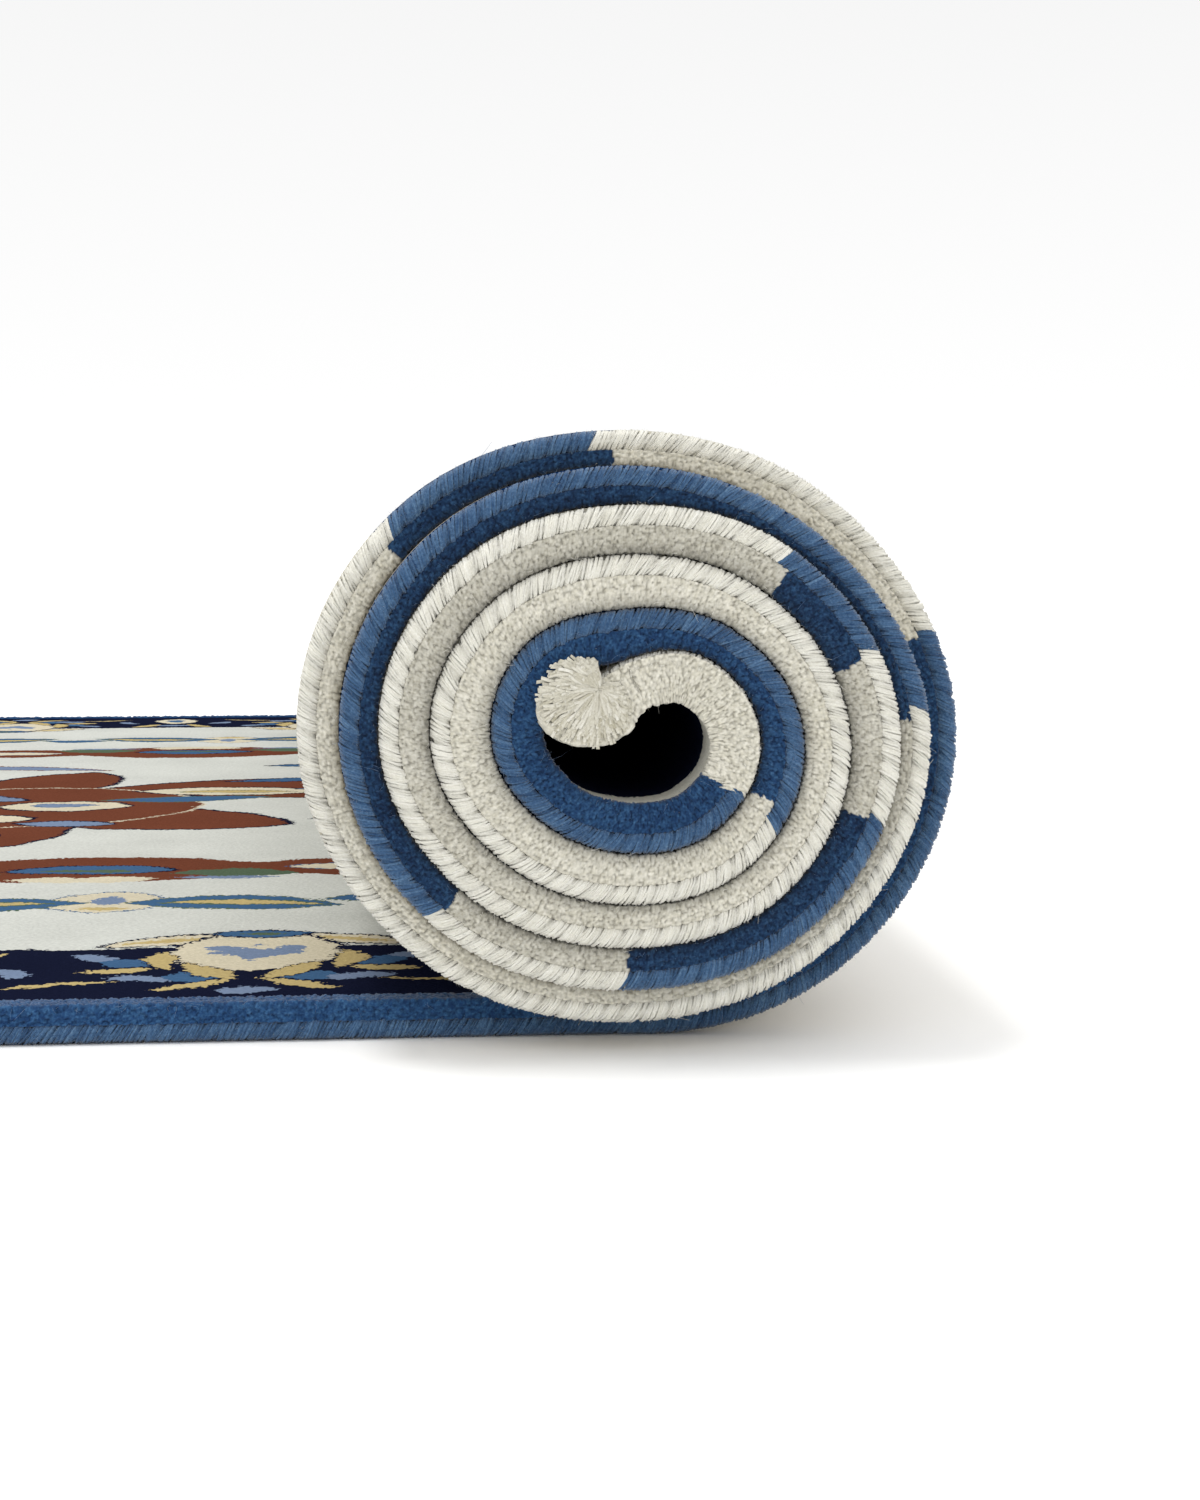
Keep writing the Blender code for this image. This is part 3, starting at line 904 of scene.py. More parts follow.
class Pattern:
    """The pile's pattern: a navy border of flowers, an ivory field, rows of leaves, great flowers.

    Its sizes are in mm, from the carpet's edges and its outer end.
    """

    guard = 11.0             # width of the plain edge
    border_end = 108.0
    flower_overlap = 45.0    # how far the border's flowers reach into the field
    bare_field = 22.0        # between the border and the field's own motifs
    repeat = 238.0           # of the border's flowers and of the clouds
    border_axis = 481.0      # a mirror axis of each repeat, from the outer end
    row_repeat = 218.0
    row_axis = 414.0
    cloud_axis = 396.0
    flower_repeat = 1190.0
    plain_turn = 4.78        # from here on the pile is plain
    inner_stripe = 26.0      # width of the ivory there
    wander = 16.0            # how far a tuft may stand off its place
    fine_wander = 520.0      # scales of the noise that says which way
    broad_wander = 55.0

    def __init__(self, nodes: Nodes, winding: Winding) -> None:
        """Works out where a place lies in the pattern.

        Args:
            nodes: The material to draw it in.
            winding: Gives the carpet's size.
        """
        self.nodes = nodes
        self.leaf = self._leaf_group()
        cut = nodes.attribute("cut").outputs["Vector"]
        parts = nodes.add("ShaderNodeSeparateXYZ", Vector=cut)
        fine = nodes.add("ShaderNodeTexNoise", Vector=cut, Scale=self.fine_wander, Detail=1.0)
        broad = nodes.add("ShaderNodeTexNoise", Vector=cut, Scale=self.broad_wander, Detail=1.0)
        both = nodes.mix(0.5, fine.outputs["Color"], broad.outputs["Color"])
        ragged = nodes.add("ShaderNodeSeparateXYZ", Vector=both)
        s, y = (
            nodes.math("MULTIPLY_ADD", parts.outputs[way], 1 / MM, self._wander(ragged.outputs[way]))
            for way in ("X", "Y")
        )
        half, length = winding.width / 2 / MM, winding.length / MM
        self.along_cut = s
        self.inner_turn = winding.at_turn(self.plain_turn) / MM
        side = nodes.math("SUBTRACT", half, nodes.math("ABSOLUTE", y))
        end = nodes.math("MINIMUM", s, nodes.math("SUBTRACT", length, s))
        self.depth = nodes.math("MINIMUM", side, end)
        on_side = nodes.math("LESS_THAN", side, end)
        along = self._choose(on_side, s, side)
        self.border = self._point(self._mirrored(along, self.border_axis, self.repeat), self.depth)
        self.row = self._point(self._mirrored(s, self.row_axis, self.row_repeat), side)
        self.cloud = self._point(self._mirrored(s, self.cloud_axis, self.repeat), side)
        across = nodes.math("ADD", y, half)
        self.flowers = self._point(self._mirrored(s, 0.0, self.flower_repeat), across)

    @staticmethod
    def _leaf_group() -> bpy.types.ShaderNodeTree:
        """Makes the group that says how deep inside a leaf or a round flower a place lies.

        Returns:
            The group; what it gives is above 0 inside, and 1 on the motif's long axis.
        """
        tree = bpy.data.node_groups.new("leaf_shape", "ShaderNodeTree")
        for name in ("Point", "Centre"):
            tree.interface.new_socket(name, in_out="INPUT", socket_type="NodeSocketVector")
        for name in ("Turn", "Length", "Width", "Round", "Bow"):
            tree.interface.new_socket(name, in_out="INPUT", socket_type="NodeSocketFloat")
        tree.interface.new_socket("Inside", in_out="OUTPUT", socket_type="NodeSocketFloat")
        given = tree.nodes.new("NodeGroupInput").outputs
        result = tree.nodes.new("NodeGroupOutput")

        def math(operation: str, *values: object) -> bpy.types.NodeSocket:
            """Works out a sum inside the group.

            Args:
                operation: Its kind.
                values: Its numbers or sockets.

            Returns:
                The result.
            """
            node = tree.nodes.new("ShaderNodeMath")
            node.operation = operation
            for socket, value in zip(node.inputs, values):
                if isinstance(value, bpy.types.NodeSocket):
                    tree.links.new(value, socket)
                else:
                    socket.default_value = value
            return node.outputs[0]

        turned = tree.nodes.new("ShaderNodeVectorRotate")
        turned.rotation_type = "Z_AXIS"
        tree.links.new(given["Point"], turned.inputs["Vector"])
        tree.links.new(given["Centre"], turned.inputs["Center"])
        tree.links.new(math("MULTIPLY", given["Turn"], -1.0), turned.inputs["Angle"])
        from_centre = tree.nodes.new("ShaderNodeVectorMath")
        from_centre.operation = "SUBTRACT"
        tree.links.new(turned.outputs[0], from_centre.inputs[0])
        tree.links.new(given["Centre"], from_centre.inputs[1])
        parts = tree.nodes.new("ShaderNodeSeparateXYZ")
        tree.links.new(from_centre.outputs[0], parts.inputs[0])
        x = math("DIVIDE", parts.outputs["X"], given["Length"])
        square = math("MULTIPLY", x, x)
        bowed = math("ADD", parts.outputs["Y"], math("MULTIPLY", given["Bow"], square))
        y = math("DIVIDE", math("ABSOLUTE", bowed), given["Width"])
        fuller = math("MULTIPLY", given["Round"], math("SUBTRACT", math("MULTIPLY", y, y), y))
        inside = math("SUBTRACT", math("SUBTRACT", 1.0, square), math("ADD", y, fuller))
        tree.links.new(inside, result.inputs["Inside"])
        return tree

    def _wander(self, noise: bpy.types.NodeSocket) -> bpy.types.NodeSocket:
        """How far, in mm, a tuft stands off its place."""
        return self.nodes.math("MULTIPLY_ADD", noise, self.wander, -self.wander / 2)

    def _choose(self, share: object, yes: object, no: object) -> bpy.types.NodeSocket:
        """One of two numbers."""
        difference = self.nodes.math("SUBTRACT", yes, no)
        return self.nodes.math("MULTIPLY_ADD", difference, share, no)

    def _mirrored(self, along: object, axis: float, repeat: float) -> bpy.types.NodeSocket:
        """How far a place is from the nearest mirror axis of a repeat."""
        return self.nodes.math("PINGPONG", self.nodes.math("SUBTRACT", along, axis), repeat / 2)

    def _point(self, u: object, v: object) -> bpy.types.NodeSocket:
        """Two numbers as a place."""
        return self.nodes.add("ShaderNodeCombineXYZ", X=u, Y=v).outputs[0]

    def _lay(self, colour: object, where: object, motifs: tuple[Motif, ...]) -> bpy.types.NodeSocket:
        """Draws motifs over a colour, in their order.

        Args:
            colour: What is under them.
            where: The place in the part of the pattern they belong to.
            motifs: The motifs.

        Returns:
            The colour with the motifs on it.
        """
        nodes = self.nodes
        for motif in motifs:
            group = nodes.tree.nodes.new("ShaderNodeGroup")
            group.node_tree = self.leaf
            nodes.feed(group.inputs["Point"], where)
            group.inputs["Centre"].default_value = (motif.u, motif.v, 0.0)
            group.inputs["Turn"].default_value = radians(motif.turn)
            group.inputs["Length"].default_value = motif.length
            group.inputs["Width"].default_value = motif.width
            group.inputs["Round"].default_value = motif.round
            group.inputs["Bow"].default_value = motif.bow
            inside = group.outputs["Inside"]
            if motif.line:
                line = -motif.line * (1 + motif.round) / motif.width
                outlined = nodes.math("GREATER_THAN", inside, line)
                colour = nodes.mix(outlined, colour, (*motif.edge.value, 1))
            filled = nodes.math("GREATER_THAN", inside, 0.0)
            colour = nodes.mix(filled, colour, (*motif.fill.value, 1))
        return colour

    def colour(self) -> bpy.types.NodeSocket:
        """Draws the whole pattern.

        Returns:
            Its colour at every place of the pile.
        """
        nodes = self.nodes
        ivory, navy, pale = ((*dye.value, 1) for dye in (Dye.FIELD_IVORY, Dye.NAVY, Dye.IVORY))
        field_wool = self._lay(ivory, self.flowers, FIELD_FLOWERS)
        field_wool = self._lay(field_wool, self.cloud, CLOUD_ROW)
        field_wool = self._lay(field_wool, self.row, FIELD_ROW)
        inner = nodes.math("GREATER_THAN", self.depth, self.border_end + self.bare_field)
        field_wool = nodes.mix(inner, ivory, field_wool)
        at_border = nodes.math("LESS_THAN", self.depth, self.border_end)
        wool = nodes.mix(at_border, field_wool, navy)
        near_border = nodes.math("LESS_THAN", self.depth, self.border_end + self.flower_overlap)
        wool = nodes.mix(near_border, wool, self._lay(wool, self.border, MAIN_BORDER))
        inner_turn = nodes.math("GREATER_THAN", self.along_cut, self.inner_turn)
        by_edge = nodes.math("LESS_THAN", self.depth, self.inner_stripe)
        plain = nodes.mix(by_edge, navy, pale)
        wool = nodes.mix(inner_turn, wool, plain)
        in_guard = nodes.math("LESS_THAN", self.depth, self.guard)
        return nodes.mix(in_guard, wool, nodes.attribute("dye").outputs["Color"])


@dataclass(frozen=True)
class PileFinish:
    """The cut pile's finish: the pattern, and the tufts' tips in low relief."""

    winding: Winding
    name: str = "patterned_pile"
    tuft: float = 640.0             # scale of the tufts' tips
    low_tip_shade: float = 0.72           # painted shade: how dark the lowest tips are painted, where the relief is low
    tip_range: float = 0.5
    tread: float = 22.0             # scale of the broad shading
    tread_low: float = 0.88
    tread_range: float = 0.24
    relief: float = 0.0011
    relief_strength: float = 0.8

    def material(self) -> bpy.types.Material:
        """Builds the finish.

        Returns:
            The material; it reads the piece's attributes "cut" and "dye".
        """
        nodes = Nodes(self.name)
        cut = nodes.attribute("cut").outputs["Vector"]
        wool = Pattern(nodes, self.winding).colour()
        tips = nodes.noise(cut, self.tuft, 3.0)
        broad = nodes.noise(cut, self.tread, 2.0)
        tips = nodes.math("MULTIPLY_ADD", tips, self.tip_range, self.low_tip_shade)
        tread = nodes.math("MULTIPLY_ADD", broad, self.tread_range, self.tread_low)
        # painted shade where the tips' relief is low, times a broad random tone
        shade = nodes.math("MULTIPLY", tips, tread)
        tone = nodes.add("ShaderNodeCombineColor", Red=shade, Green=shade, Blue=shade)
        colour = nodes.mix(1.0, wool, tone.outputs[0], "MULTIPLY")
        bump = nodes.add(
            "ShaderNodeBump", Strength=self.relief_strength, Distance=self.relief, Height=tips
        )
        nodes.feed(nodes.shader.inputs["Base Color"], colour)
        nodes.feed(nodes.shader.inputs["Normal"], bump.outputs[0])
        nodes.shader.inputs["Roughness"].default_value = 1.0
        nodes.shader.inputs["Specular IOR Level"].default_value = 0.0
        return nodes.material


class SectionCorner(NamedTuple):
    """A corner of the sheet's section, from the back over the pile to its top.

    Inset is how far in from the carpet's edge it is, in mm; root is its height as a share of the
    pile's root, and pile how much of the pile's height above that it has.
    """

    inset: float
    root: float
    pile: float


SHEET_SECTION = (
    SectionCorner(6.5, 0.0, 0.0),
    SectionCorner(6.5, 0.5, 0.0),
    SectionCorner(6.5, 0.98, 0.0),
    SectionCorner(3.4, 1.0, 0.0),
    SectionCorner(2.8, 1.0, 0.05),
    SectionCorner(2.7, 1.0, 0.25),
    SectionCorner(2.9, 1.0, 0.5),
    SectionCorner(3.3, 1.0, 0.68),
    SectionCorner(4.0, 1.0, 0.82),
    SectionCorner(5.2, 1.0, 0.95),
    SectionCorner(7.0, 1.0, 1.0),
    SectionCorner(11.0, 1.0, 1.0),
    SectionCorner(30.0, 1.0, 1.0),
)


@dataclass
class Body:
    """The carpet itself: its woven back and its pile, one closed sheet."""

    winding: Winding
    colours: ColourPlan
    step: float = 0.002
    edge_inset: float = 0.0065
    root: float = 0.0066            # height at which the pile spreads over the binding
    flange: float = 0.99            # underside of the pile that stands over the ends, in roots
    below_tips: float = 0.0008      # the sheet lies that much under the pile's tips
    thinnest: float = 0.001
    flange_step: float = 0.0006     # along the cut, from the binding's seat to the full sheet
    end_places: tuple[float, ...] = (0.0022, 0.003, 0.0045)     # from either end
    end_lips: tuple[float, float] = (0.55, 0.9)                 # share of the pile at the first two
    end_fall: tuple[float, ...] = (0.0, 0.012, 0.024, 0.034)    # from the inner end
    end_shares: tuple[float, ...] = (0.55, 0.72, 0.85, 1.0)     # share of the pile there
    depth: float = 1.2              # painted shade: how much deeper its dye is painted than the tufts', so the sheet between them looks shaded; the guard's top takes the same dye
    back_height: float = 0.0001     # what lies lower is the woven back

    def _sides(self, nap: Numbers) -> tuple[Numbers, Numbers]:
        """Lays out the sheet's section at each station.

        Args:
            nap: The sheet's thickness at each station.

        Returns:
            Two tables, how far the corners are from the middle and how high. They have a row for
            each station and a column for each corner, from the near side of the back over the
            pile to the far side of the back.
        """
        insets, roots, shares = np.array(SHEET_SECTION).T
        rise = np.maximum(nap - self.root - self.below_tips, self.thinnest)
        ys = self.winding.width / 2 - insets * MM
        heights = (roots * self.root)[None] + rise[:, None] * shares[None]
        ys = np.repeat(ys[None], len(nap), axis=0)
        return np.hstack([-ys, ys[:, ::-1]]), np.hstack([heights, heights[:, ::-1]])

    def build(self) -> bpy.types.Object:
        """Makes the sheet from a grid that is wrapped round the section and closed.

        Returns:
            The sheet.
        """
        length = self.winding.length
        inset = self.edge_inset
        count = int((length - inset * 2) / self.step)
        inner = np.linspace(inset + self.flange_step, length - inset - self.flange_step, count)
        end = np.array([*self.end_places, inset])
        s = np.concatenate([end, inner, length - end[::-1]])
        lip = np.ones(len(s))
        lip[[0, 1, -2, -1]] = (*self.end_lips, *reversed(self.end_lips))
        lip *= np.interp(length - s, self.end_fall, self.end_shares)
        over = np.zeros(len(s), bool)
        over[: len(end)] = over[-len(end) :] = True
        ys, heights = self._sides(self.root + (self.winding.nap_at(s) - self.root) * lip)
        flange = self.root * self.flange
        heights = np.where(over[:, None] & (heights < flange), flange, heights)
        cut = np.stack([np.repeat(s[:, None], ys.shape[1], axis=1), ys, heights], -1)
        # painted shade: the sheet is painted darker than the tufts, for the gaps between them
        wool = self.colours.edge(s, Dye.DEEP_BLUE, True) ** self.depth
        wool = np.repeat(wool[:, None], ys.shape[1], axis=1)
        piece = closed_skin("carpet_sheet", cut, wool, self.winding)
        self._dress(piece.data)
        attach(piece, "root")
        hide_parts(CARPET)
        return piece

    def _dress(self, mesh: bpy.types.Mesh) -> None:
        """Gives back and pile their finishes.

        Args:
            mesh: The sheet's mesh, which knows where each corner is in the flat cut.
        """
        cut = np.zeros(len(mesh.vertices) * 3, np.float32)
        mesh.attributes["cut"].data.foreach_get("vector", cut)
        cut = cut.reshape(-1, 3)
        mesh.materials.append(PileFinish(self.winding).material())
        mesh.materials.append(CanvasBack().material())
        low = cut[:, 2] < self.back_height
        backs = [all(low[v] for v in face.vertices) for face in mesh.polygons]
        mesh.polygons.foreach_set("material_index", np.array(backs, dtype=np.int32))


@dataclass(frozen=True)
class CanvasBack:
    """The plain woven back: natural cloth with its threads in low relief."""

    name: str = "canvas_back"
    cloth: tuple[float, float, float, float] = (0.60, 0.55, 0.45, 1.0)
    thread: float = 0.0016          # from thread to thread
    slub: float = 400.0             # scale of the threads' unevenness
    weave_share: float = 0.5        # of the weave in the relief, beside that
    shade_low: float = 0.84
    shade_range: float = 0.12
    relief: float = 0.0003

    def material(self) -> bpy.types.Material:
        """Builds the finish.

        Returns:
            The material; it reads the piece's attribute "cut".
        """
        nodes = Nodes(self.name)
        cut = nodes.attribute("cut").outputs["Vector"]
        parts = nodes.add("ShaderNodeSeparateXYZ", Vector=cut)
        turn = 2 * pi / self.thread
        weft = nodes.math("SINE", nodes.math("MULTIPLY", parts.outputs["X"], turn))
        warp = nodes.math("SINE", nodes.math("MULTIPLY", parts.outputs["Y"], turn))
        weave = nodes.math("MULTIPLY", weft, warp)
        rough = nodes.noise(cut, self.slub, 4.0)
        height = nodes.math("MULTIPLY_ADD", weave, self.weave_share, rough)
        shade = nodes.math("MULTIPLY_ADD", height, self.shade_range, self.shade_low)
        tone = nodes.add("ShaderNodeCombineColor", Red=shade, Green=shade, Blue=shade)
        colour = nodes.mix(1.0, self.cloth, tone.outputs[0], "MULTIPLY")
        bump = nodes.add("ShaderNodeBump", Strength=1.0, Distance=self.relief, Height=height)
        nodes.feed(nodes.shader.inputs["Base Color"], colour)
        nodes.feed(nodes.shader.inputs["Normal"], bump.outputs[0])
        nodes.shader.inputs["Roughness"].default_value = 0.95
        nodes.shader.inputs["Specular IOR Level"].default_value = 0.1
        return nodes.material


@dataclass
class Growth:
    """Fibres that stand on the carpet, a row for each, in the flat cut."""

    foot: Numbers
    way: Numbers
    tall: Numbers
    thick: Numbers
    wool: Numbers
    sag: Numbers | None = None      # how far the tip bends away
    probe: float = 0.0005           # a step along a fibre, to see which way it stands in the roll

    def grown(self, name: str, shape: Small, winding: Winding, soft: float) -> bpy.types.Object:
        """Makes them one piece.

        Args:
            name: The piece's name.
            shape: What each is shaped like.
            winding: Where the carpet lies.
            soft: How far their shading follows the way they stand rather than their own sides.

        Returns:
            The piece.
        """
        random = np.random.default_rng(SEED + len(self.foot))
        way = unit(self.way)
        across = unit(np.cross(way, random.normal(0, 1, way.shape)))
        third = np.cross(way, across)
        share = shape.corners[None, :, 2:]
        axis = self.foot[:, None] + way[:, None] * share * self.tall[:, None, None]
        if self.sag is not None:
            axis = axis + self.sag[:, None] * share**2
        wide, deep = shape.corners[None, :, :1], shape.corners[None, :, 1:2]
        aside = across[:, None] * wide + third[:, None] * deep
        places = winding.place(axis + aside * self.thick[:, None, None])
        middle = winding.place(axis)
        ahead = winding.place(axis + way[:, None] * self.probe)
        normals = unit(unit(places - middle) * (1 - soft) + unit(ahead - middle) * soft)
        return shape.repeated(name, places, np.clip(self.wool, 0, 1), normals)


class TurnShade(NamedTuple):
    """Painted shade: how much lighter or darker the pile is painted at some turn of the roll, against
    its own dye.
    """

    turn: float
    factor: float


# painted shade and light: the pile's brightness set turn by turn
IVORY_TURN_SHADE = (TurnShade(0.9, 1.08), TurnShade(1.2, 0.82), TurnShade(2.7, 0.84), TurnShade(3.1, 1.06))
BLUE_TURN_SHADE = (TurnShade(0.0, 1.22), TurnShade(0.2, 0.80), TurnShade(0.9, 0.60), TurnShade(3.0, 0.60), TurnShade(3.6, 0.92))


def turn_shade_at(turn: Numbers, tones: tuple[TurnShade, ...]) -> Numbers:
    """How much lighter or darker the pile is painted at these turns, as painted shade."""
    turns, factors = zip(*tones)
    return np.interp(turn, turns, factors)


class Band(NamedTuple):
    """A stretch of the pile's edge.

    Side is -1 for the near edge and 1 for the far one. Step is how fine it is along the cut, rows
    how fine across, and reach how far in from the edge it goes.
    """

    name: str
    side: int
    start: float
    end: float
    step: float
    rows: int
    reach: float
    pitch: float = 0.00115


@dataclass
class PileEdge:
    """The cut pile where its side shows: a skin of rounded tufts up the side and over the shoulder."""

    winding: Winding
    colours: ColourPlan
    root: float = 0.0061                # height of the pile's side at its foot
    inset: float = 0.0018               # how far in from the edge the side stands
    shoulder: float = 0.0012            # rounding of the pile's upper edge
    below_tips: float = 0.0006
    least_side: float = 0.0002
    lift: float = 0.0006                # how far the lip is swollen
    lip_width: float = 0.0024
    lip_share: float = 1.4
    tongue_turn: float = 5.17           # from here the inner end's pile covers its binding
    tongue_fade: float = 0.004
    covered_root: float = 0.0008        # root and inset there
    covered_inset: float = 0.0003
    end_inset: float = 0.002            # from the pile to the carpet's two ends
    longest: float = 0.040              # more than any outline's length
    scatter: float = 0.42               # of a tuft from the middle of its cell, in pitches
    tuft_heights: tuple[float, float] = (0.55, 1.15)
    tuft_width: float = 0.66            # radius of a tuft, in pitches
    tuft_rise: float = 0.75             # its height, in pitches
    tuft_seat: float = 0.1
    coarsest: float = 0.0016            # tufts wider than this rise no further
    rough: float = 0.00006
    colour_scatter: float = 0.0005      # how ragged a change of colour is
    valley_shade: float = 0.55              # painted shade: how dark it is painted between the tufts
    top_light: float = 0.42               # painted light: how much lighter it is painted on their tops
    tone_spread: float = 0.13
    # painted light: the tops are also made a little paler by this
    top_light_lift: float = 0.08
    tip_shade: float = 0.50             # painted shade: how dark the tips are painted under the next turn
    tip_start: float = 0.8
    tip_power: float = 1.3
    shade_in: float = 0.1               # turns over which that shade comes in
    shade_out: float = 0.2              # and, before the last turn, goes
    ivory_red: float = 0.2              # wool with more red in it is ivory
    lining_top: float = 0.0002          # how deep the skin's hidden corners lie in the pile
    lining_foot: float = 0.0016
    lining_rise: float = 0.0003
    lining_share: float = 0.6
    random: np.random.Generator = field(default_factory=lambda: np.random.default_rng(SEED + 1))

    def bands(self) -> tuple[Band, ...]:
        """Divides both edges so that no piece is too fine.

        Returns:
            The stretches.
        """
        flat, middle, last = 0.62, 1.55, self.winding.length - self.end_inset
        tongue = self.winding.at_turn(self.tongue_turn)
        return (
            Band("pile_guard_near", -1, self.end_inset, flat, 0.0006, 35, 0.0112),
            Band("pile_edge_outer", -1, flat, middle, 0.0005, 21, 0.0044),
            Band("pile_edge_inner", -1, middle, tongue, 0.0005, 21, 0.0044),
            Band("pile_edge_tongue", -1, tongue, last, 0.0004, 40, 0.0060),
            Band("pile_edge_far", 1, self.end_inset, last, 0.0012, 10, 0.0050, 0.0026),
        )

    def surface(
        self, s: Numbers, share: Numbers, reach: float
    ) -> tuple[Numbers, Numbers, Numbers, Numbers]:
        """Follows the pile's outline from its root up its side and over its shoulder.

        Args:
            s: Places along the cut.
            share: How far along the outline, from 0 to 1.
            reach: How far in from the edge the outline ends.

        Returns:
            How far along the outline, how far in from the edge, how high, and the outline's bend.
        """
        tongue = self.winding.at_turn(self.tongue_turn)
        covered = np.clip((s - tongue) / self.tongue_fade, 0, 1)
        root = self.root + (self.covered_root - self.root) * covered
        inset = self.inset + (self.covered_inset - self.inset) * covered
        side = self.winding.nap_at(s) - root - self.shoulder - self.below_tips
        straight = np.maximum(side, self.least_side)
        bow = self.shoulder * pi / 2
        path = share * (straight + bow + reach - inset - self.shoulder)
        bend = np.clip((path - straight) / bow, 0, 1) * pi / 2
        over = np.maximum(path - straight - bow, 0)
        depth = inset + self.shoulder * (1 - np.cos(bend)) + over
        height = root + np.minimum(path, straight) + self.shoulder * np.sin(bend)
        lip = np.clip(self.lip_share - depth / self.lip_width, 0, 1)
        swollen = self.lift * lip * np.sin(bend)
        return path, depth, height + swollen, bend

    def _tufts(self, s: Numbers, path: Numbers, pitch: float) -> tuple[Numbers, Numbers, Numbers]:
        """Finds the tuft that each place belongs to.

        Args:
            s: Places along the cut.
            path: Places along the outline.
            pitch: From tuft to tuft.

        Returns:
            How high the place is on its tuft, the tuft's own s, and its tone from -1 to 1.
        """
        spare = 2
        column = np.floor(s / pitch).astype(int) + spare
        row = np.floor(path / pitch).astype(int) + spare
        shape = tuple(int(far / pitch) + 3 * spare for far in (self.winding.length, self.longest))
        random = np.random.default_rng(SEED + 4)
        jitter = random.uniform(-self.scatter, self.scatter, (2, *shape))
        tall = random.uniform(*self.tuft_heights, shape)
        tones = random.uniform(-1, 1, shape)
        nearest = np.full(s.shape, np.inf)
        height, owner, tone = (np.zeros(s.shape) for _ in range(3))
        for i in (-1, 0, 1):
            for j in (-1, 0, 1):
                at = (column + i, row + j)
                tuft_s = (at[0] - spare + 0.5 + jitter[0][at]) * pitch
                tuft_path = (at[1] - spare + 0.5 + jitter[1][at]) * pitch
                far = np.hypot(s - tuft_s, path - tuft_path)
                closer = far < nearest
                nearest = np.where(closer, far, nearest)
                owner = np.where(closer, tuft_s, owner)
                tone = np.where(closer, tones[at], tone)
                height = np.where(closer, tall[at], height)
        dome = np.sqrt(np.maximum(1 - (nearest / (self.tuft_width * pitch)) ** 2, 0))
        return dome * height, owner, tone

    def _band(self, band: Band) -> bpy.types.Object:
        """Makes one stretch of the edge's pile.

        Args:
            band: The stretch.

        Returns:
            The piece.
        """
        s = np.linspace(band.start, band.end, int((band.end - band.start) / band.step))[:, None]
        share = np.linspace(0, 1, band.rows)[None]
        path, depth, height, bend = self.surface(s, share, band.reach)
        s = s + 0 * path
        dome, owner, tone = self._tufts(s, path, band.pitch)
        rise = (dome - self.tuft_seat) * self.tuft_rise * min(band.pitch, self.coarsest)
        rise = rise + self.random.normal(0, self.rough, rise.shape)
        depth = depth - rise * np.cos(bend)
        height = height + rise * np.sin(bend)
        wool = self._dye_and_paint_shade(s, height, dome, owner, tone)
        inner = self._lining(s[:, :1], band)
        rows = [np.stack([s, band.side * (self.winding.width / 2 - depth), height], -1), inner]
        cut = np.concatenate(rows, axis=1)
        wool = np.concatenate([wool, wool[:, -1:], wool[:, :1]], axis=1)
        return closed_skin(band.name, cut, np.clip(wool, 0, 1), self.winding)

    def _dye_and_paint_shade(
        self, s: Numbers, height: Numbers, dome: Numbers, owner: Numbers, tone: Numbers
    ) -> Numbers:
        """Dyes the tufts, with painted shade between them and under the next turn, painted light on
        their tops, and painted shade turn by turn.

        Args:
            s: Places along the cut.
            height: How high they are.
            dome: How high they are on their tufts.
            owner: Where along the cut those tufts are.
            tone: The tufts' tones.

        Returns:
            Rows of red, green and blue.
        """
        ragged = (owner + self.colour_scatter * tone).ravel()
        wool = self.colours.edge(ragged, Dye.DEEP_BLUE, True).reshape(*s.shape, 3)
        turn = np.interp(s, self.winding.s, self.winding.turn)
        # painted shade: the pile made lighter or darker turn by turn
        ivory, blue = (turn_shade_at(turn, tones) for tones in (IVORY_TURN_SHADE, BLUE_TURN_SHADE))
        turn_shade = np.where(wool[..., 0] > self.ivory_red, ivory, blue)
        # painted shade between the tufts and painted light on their tops
        wool = wool * (turn_shade * (self.valley_shade + self.top_light * dome))[..., None]
        # random tone of each tuft, and painted light that makes the tops paler
        wool = wool ** np.exp(self.tone_spread * tone - self.top_light_lift * dome)[..., None]
        # painted shade on the tips, under the next turn
        risen = (height - self.root) / (self.winding.nap_at(s) - self.root)
        near_tip = np.clip(risen * (1 + self.tip_start) - self.tip_start, 0, 1) ** self.tip_power
        wound = np.clip(turn / self.shade_in, 0, 1)
        wound = wound * np.clip((len(WINDING) - turn) / self.shade_out, 0, 1)
        return wool * (1 - self.tip_shade * wound * near_tip)[..., None]

    def _lining(self, s: Numbers, band: Band) -> Numbers:
        """Finds the two corners of the skin's section that lie hidden inside the pile.

        Args:
            s: Places along the cut.
            band: The stretch.

        Returns:
            Their places in the flat cut.
        """
        _, depth, height, _ = self.surface(s, np.array([[0.0, 1.0]]), band.reach)
        root, top = height[:, :1], height[:, 1:]
        depths = np.hstack([depth[:, 1:] + self.lining_top, depth[:, :1] + self.lining_foot])
        middle = top * self.lining_share + root * (1 - self.lining_share)
        heights = np.hstack([middle, root + self.lining_rise])
        flat = band.side * (self.winding.width / 2 - depths)
        return np.stack([np.repeat(s, 2, axis=1), flat, heights], -1)

    def build(self) -> list[bpy.types.Object]:
        """Makes the pile's sides.

        Returns:
            The pieces, one for each stretch.
        """
        finish = Wool("tuft_wool", roughness=0.95, sheen=0.2, mottle=0.75, relief=0.00015).material()
        pieces = []
        for band in self.bands():
            piece = self._band(band)
            piece.data.materials.append(finish)
            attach(piece, "root")
            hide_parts(CARPET)
            pieces.append(piece)
        return pieces


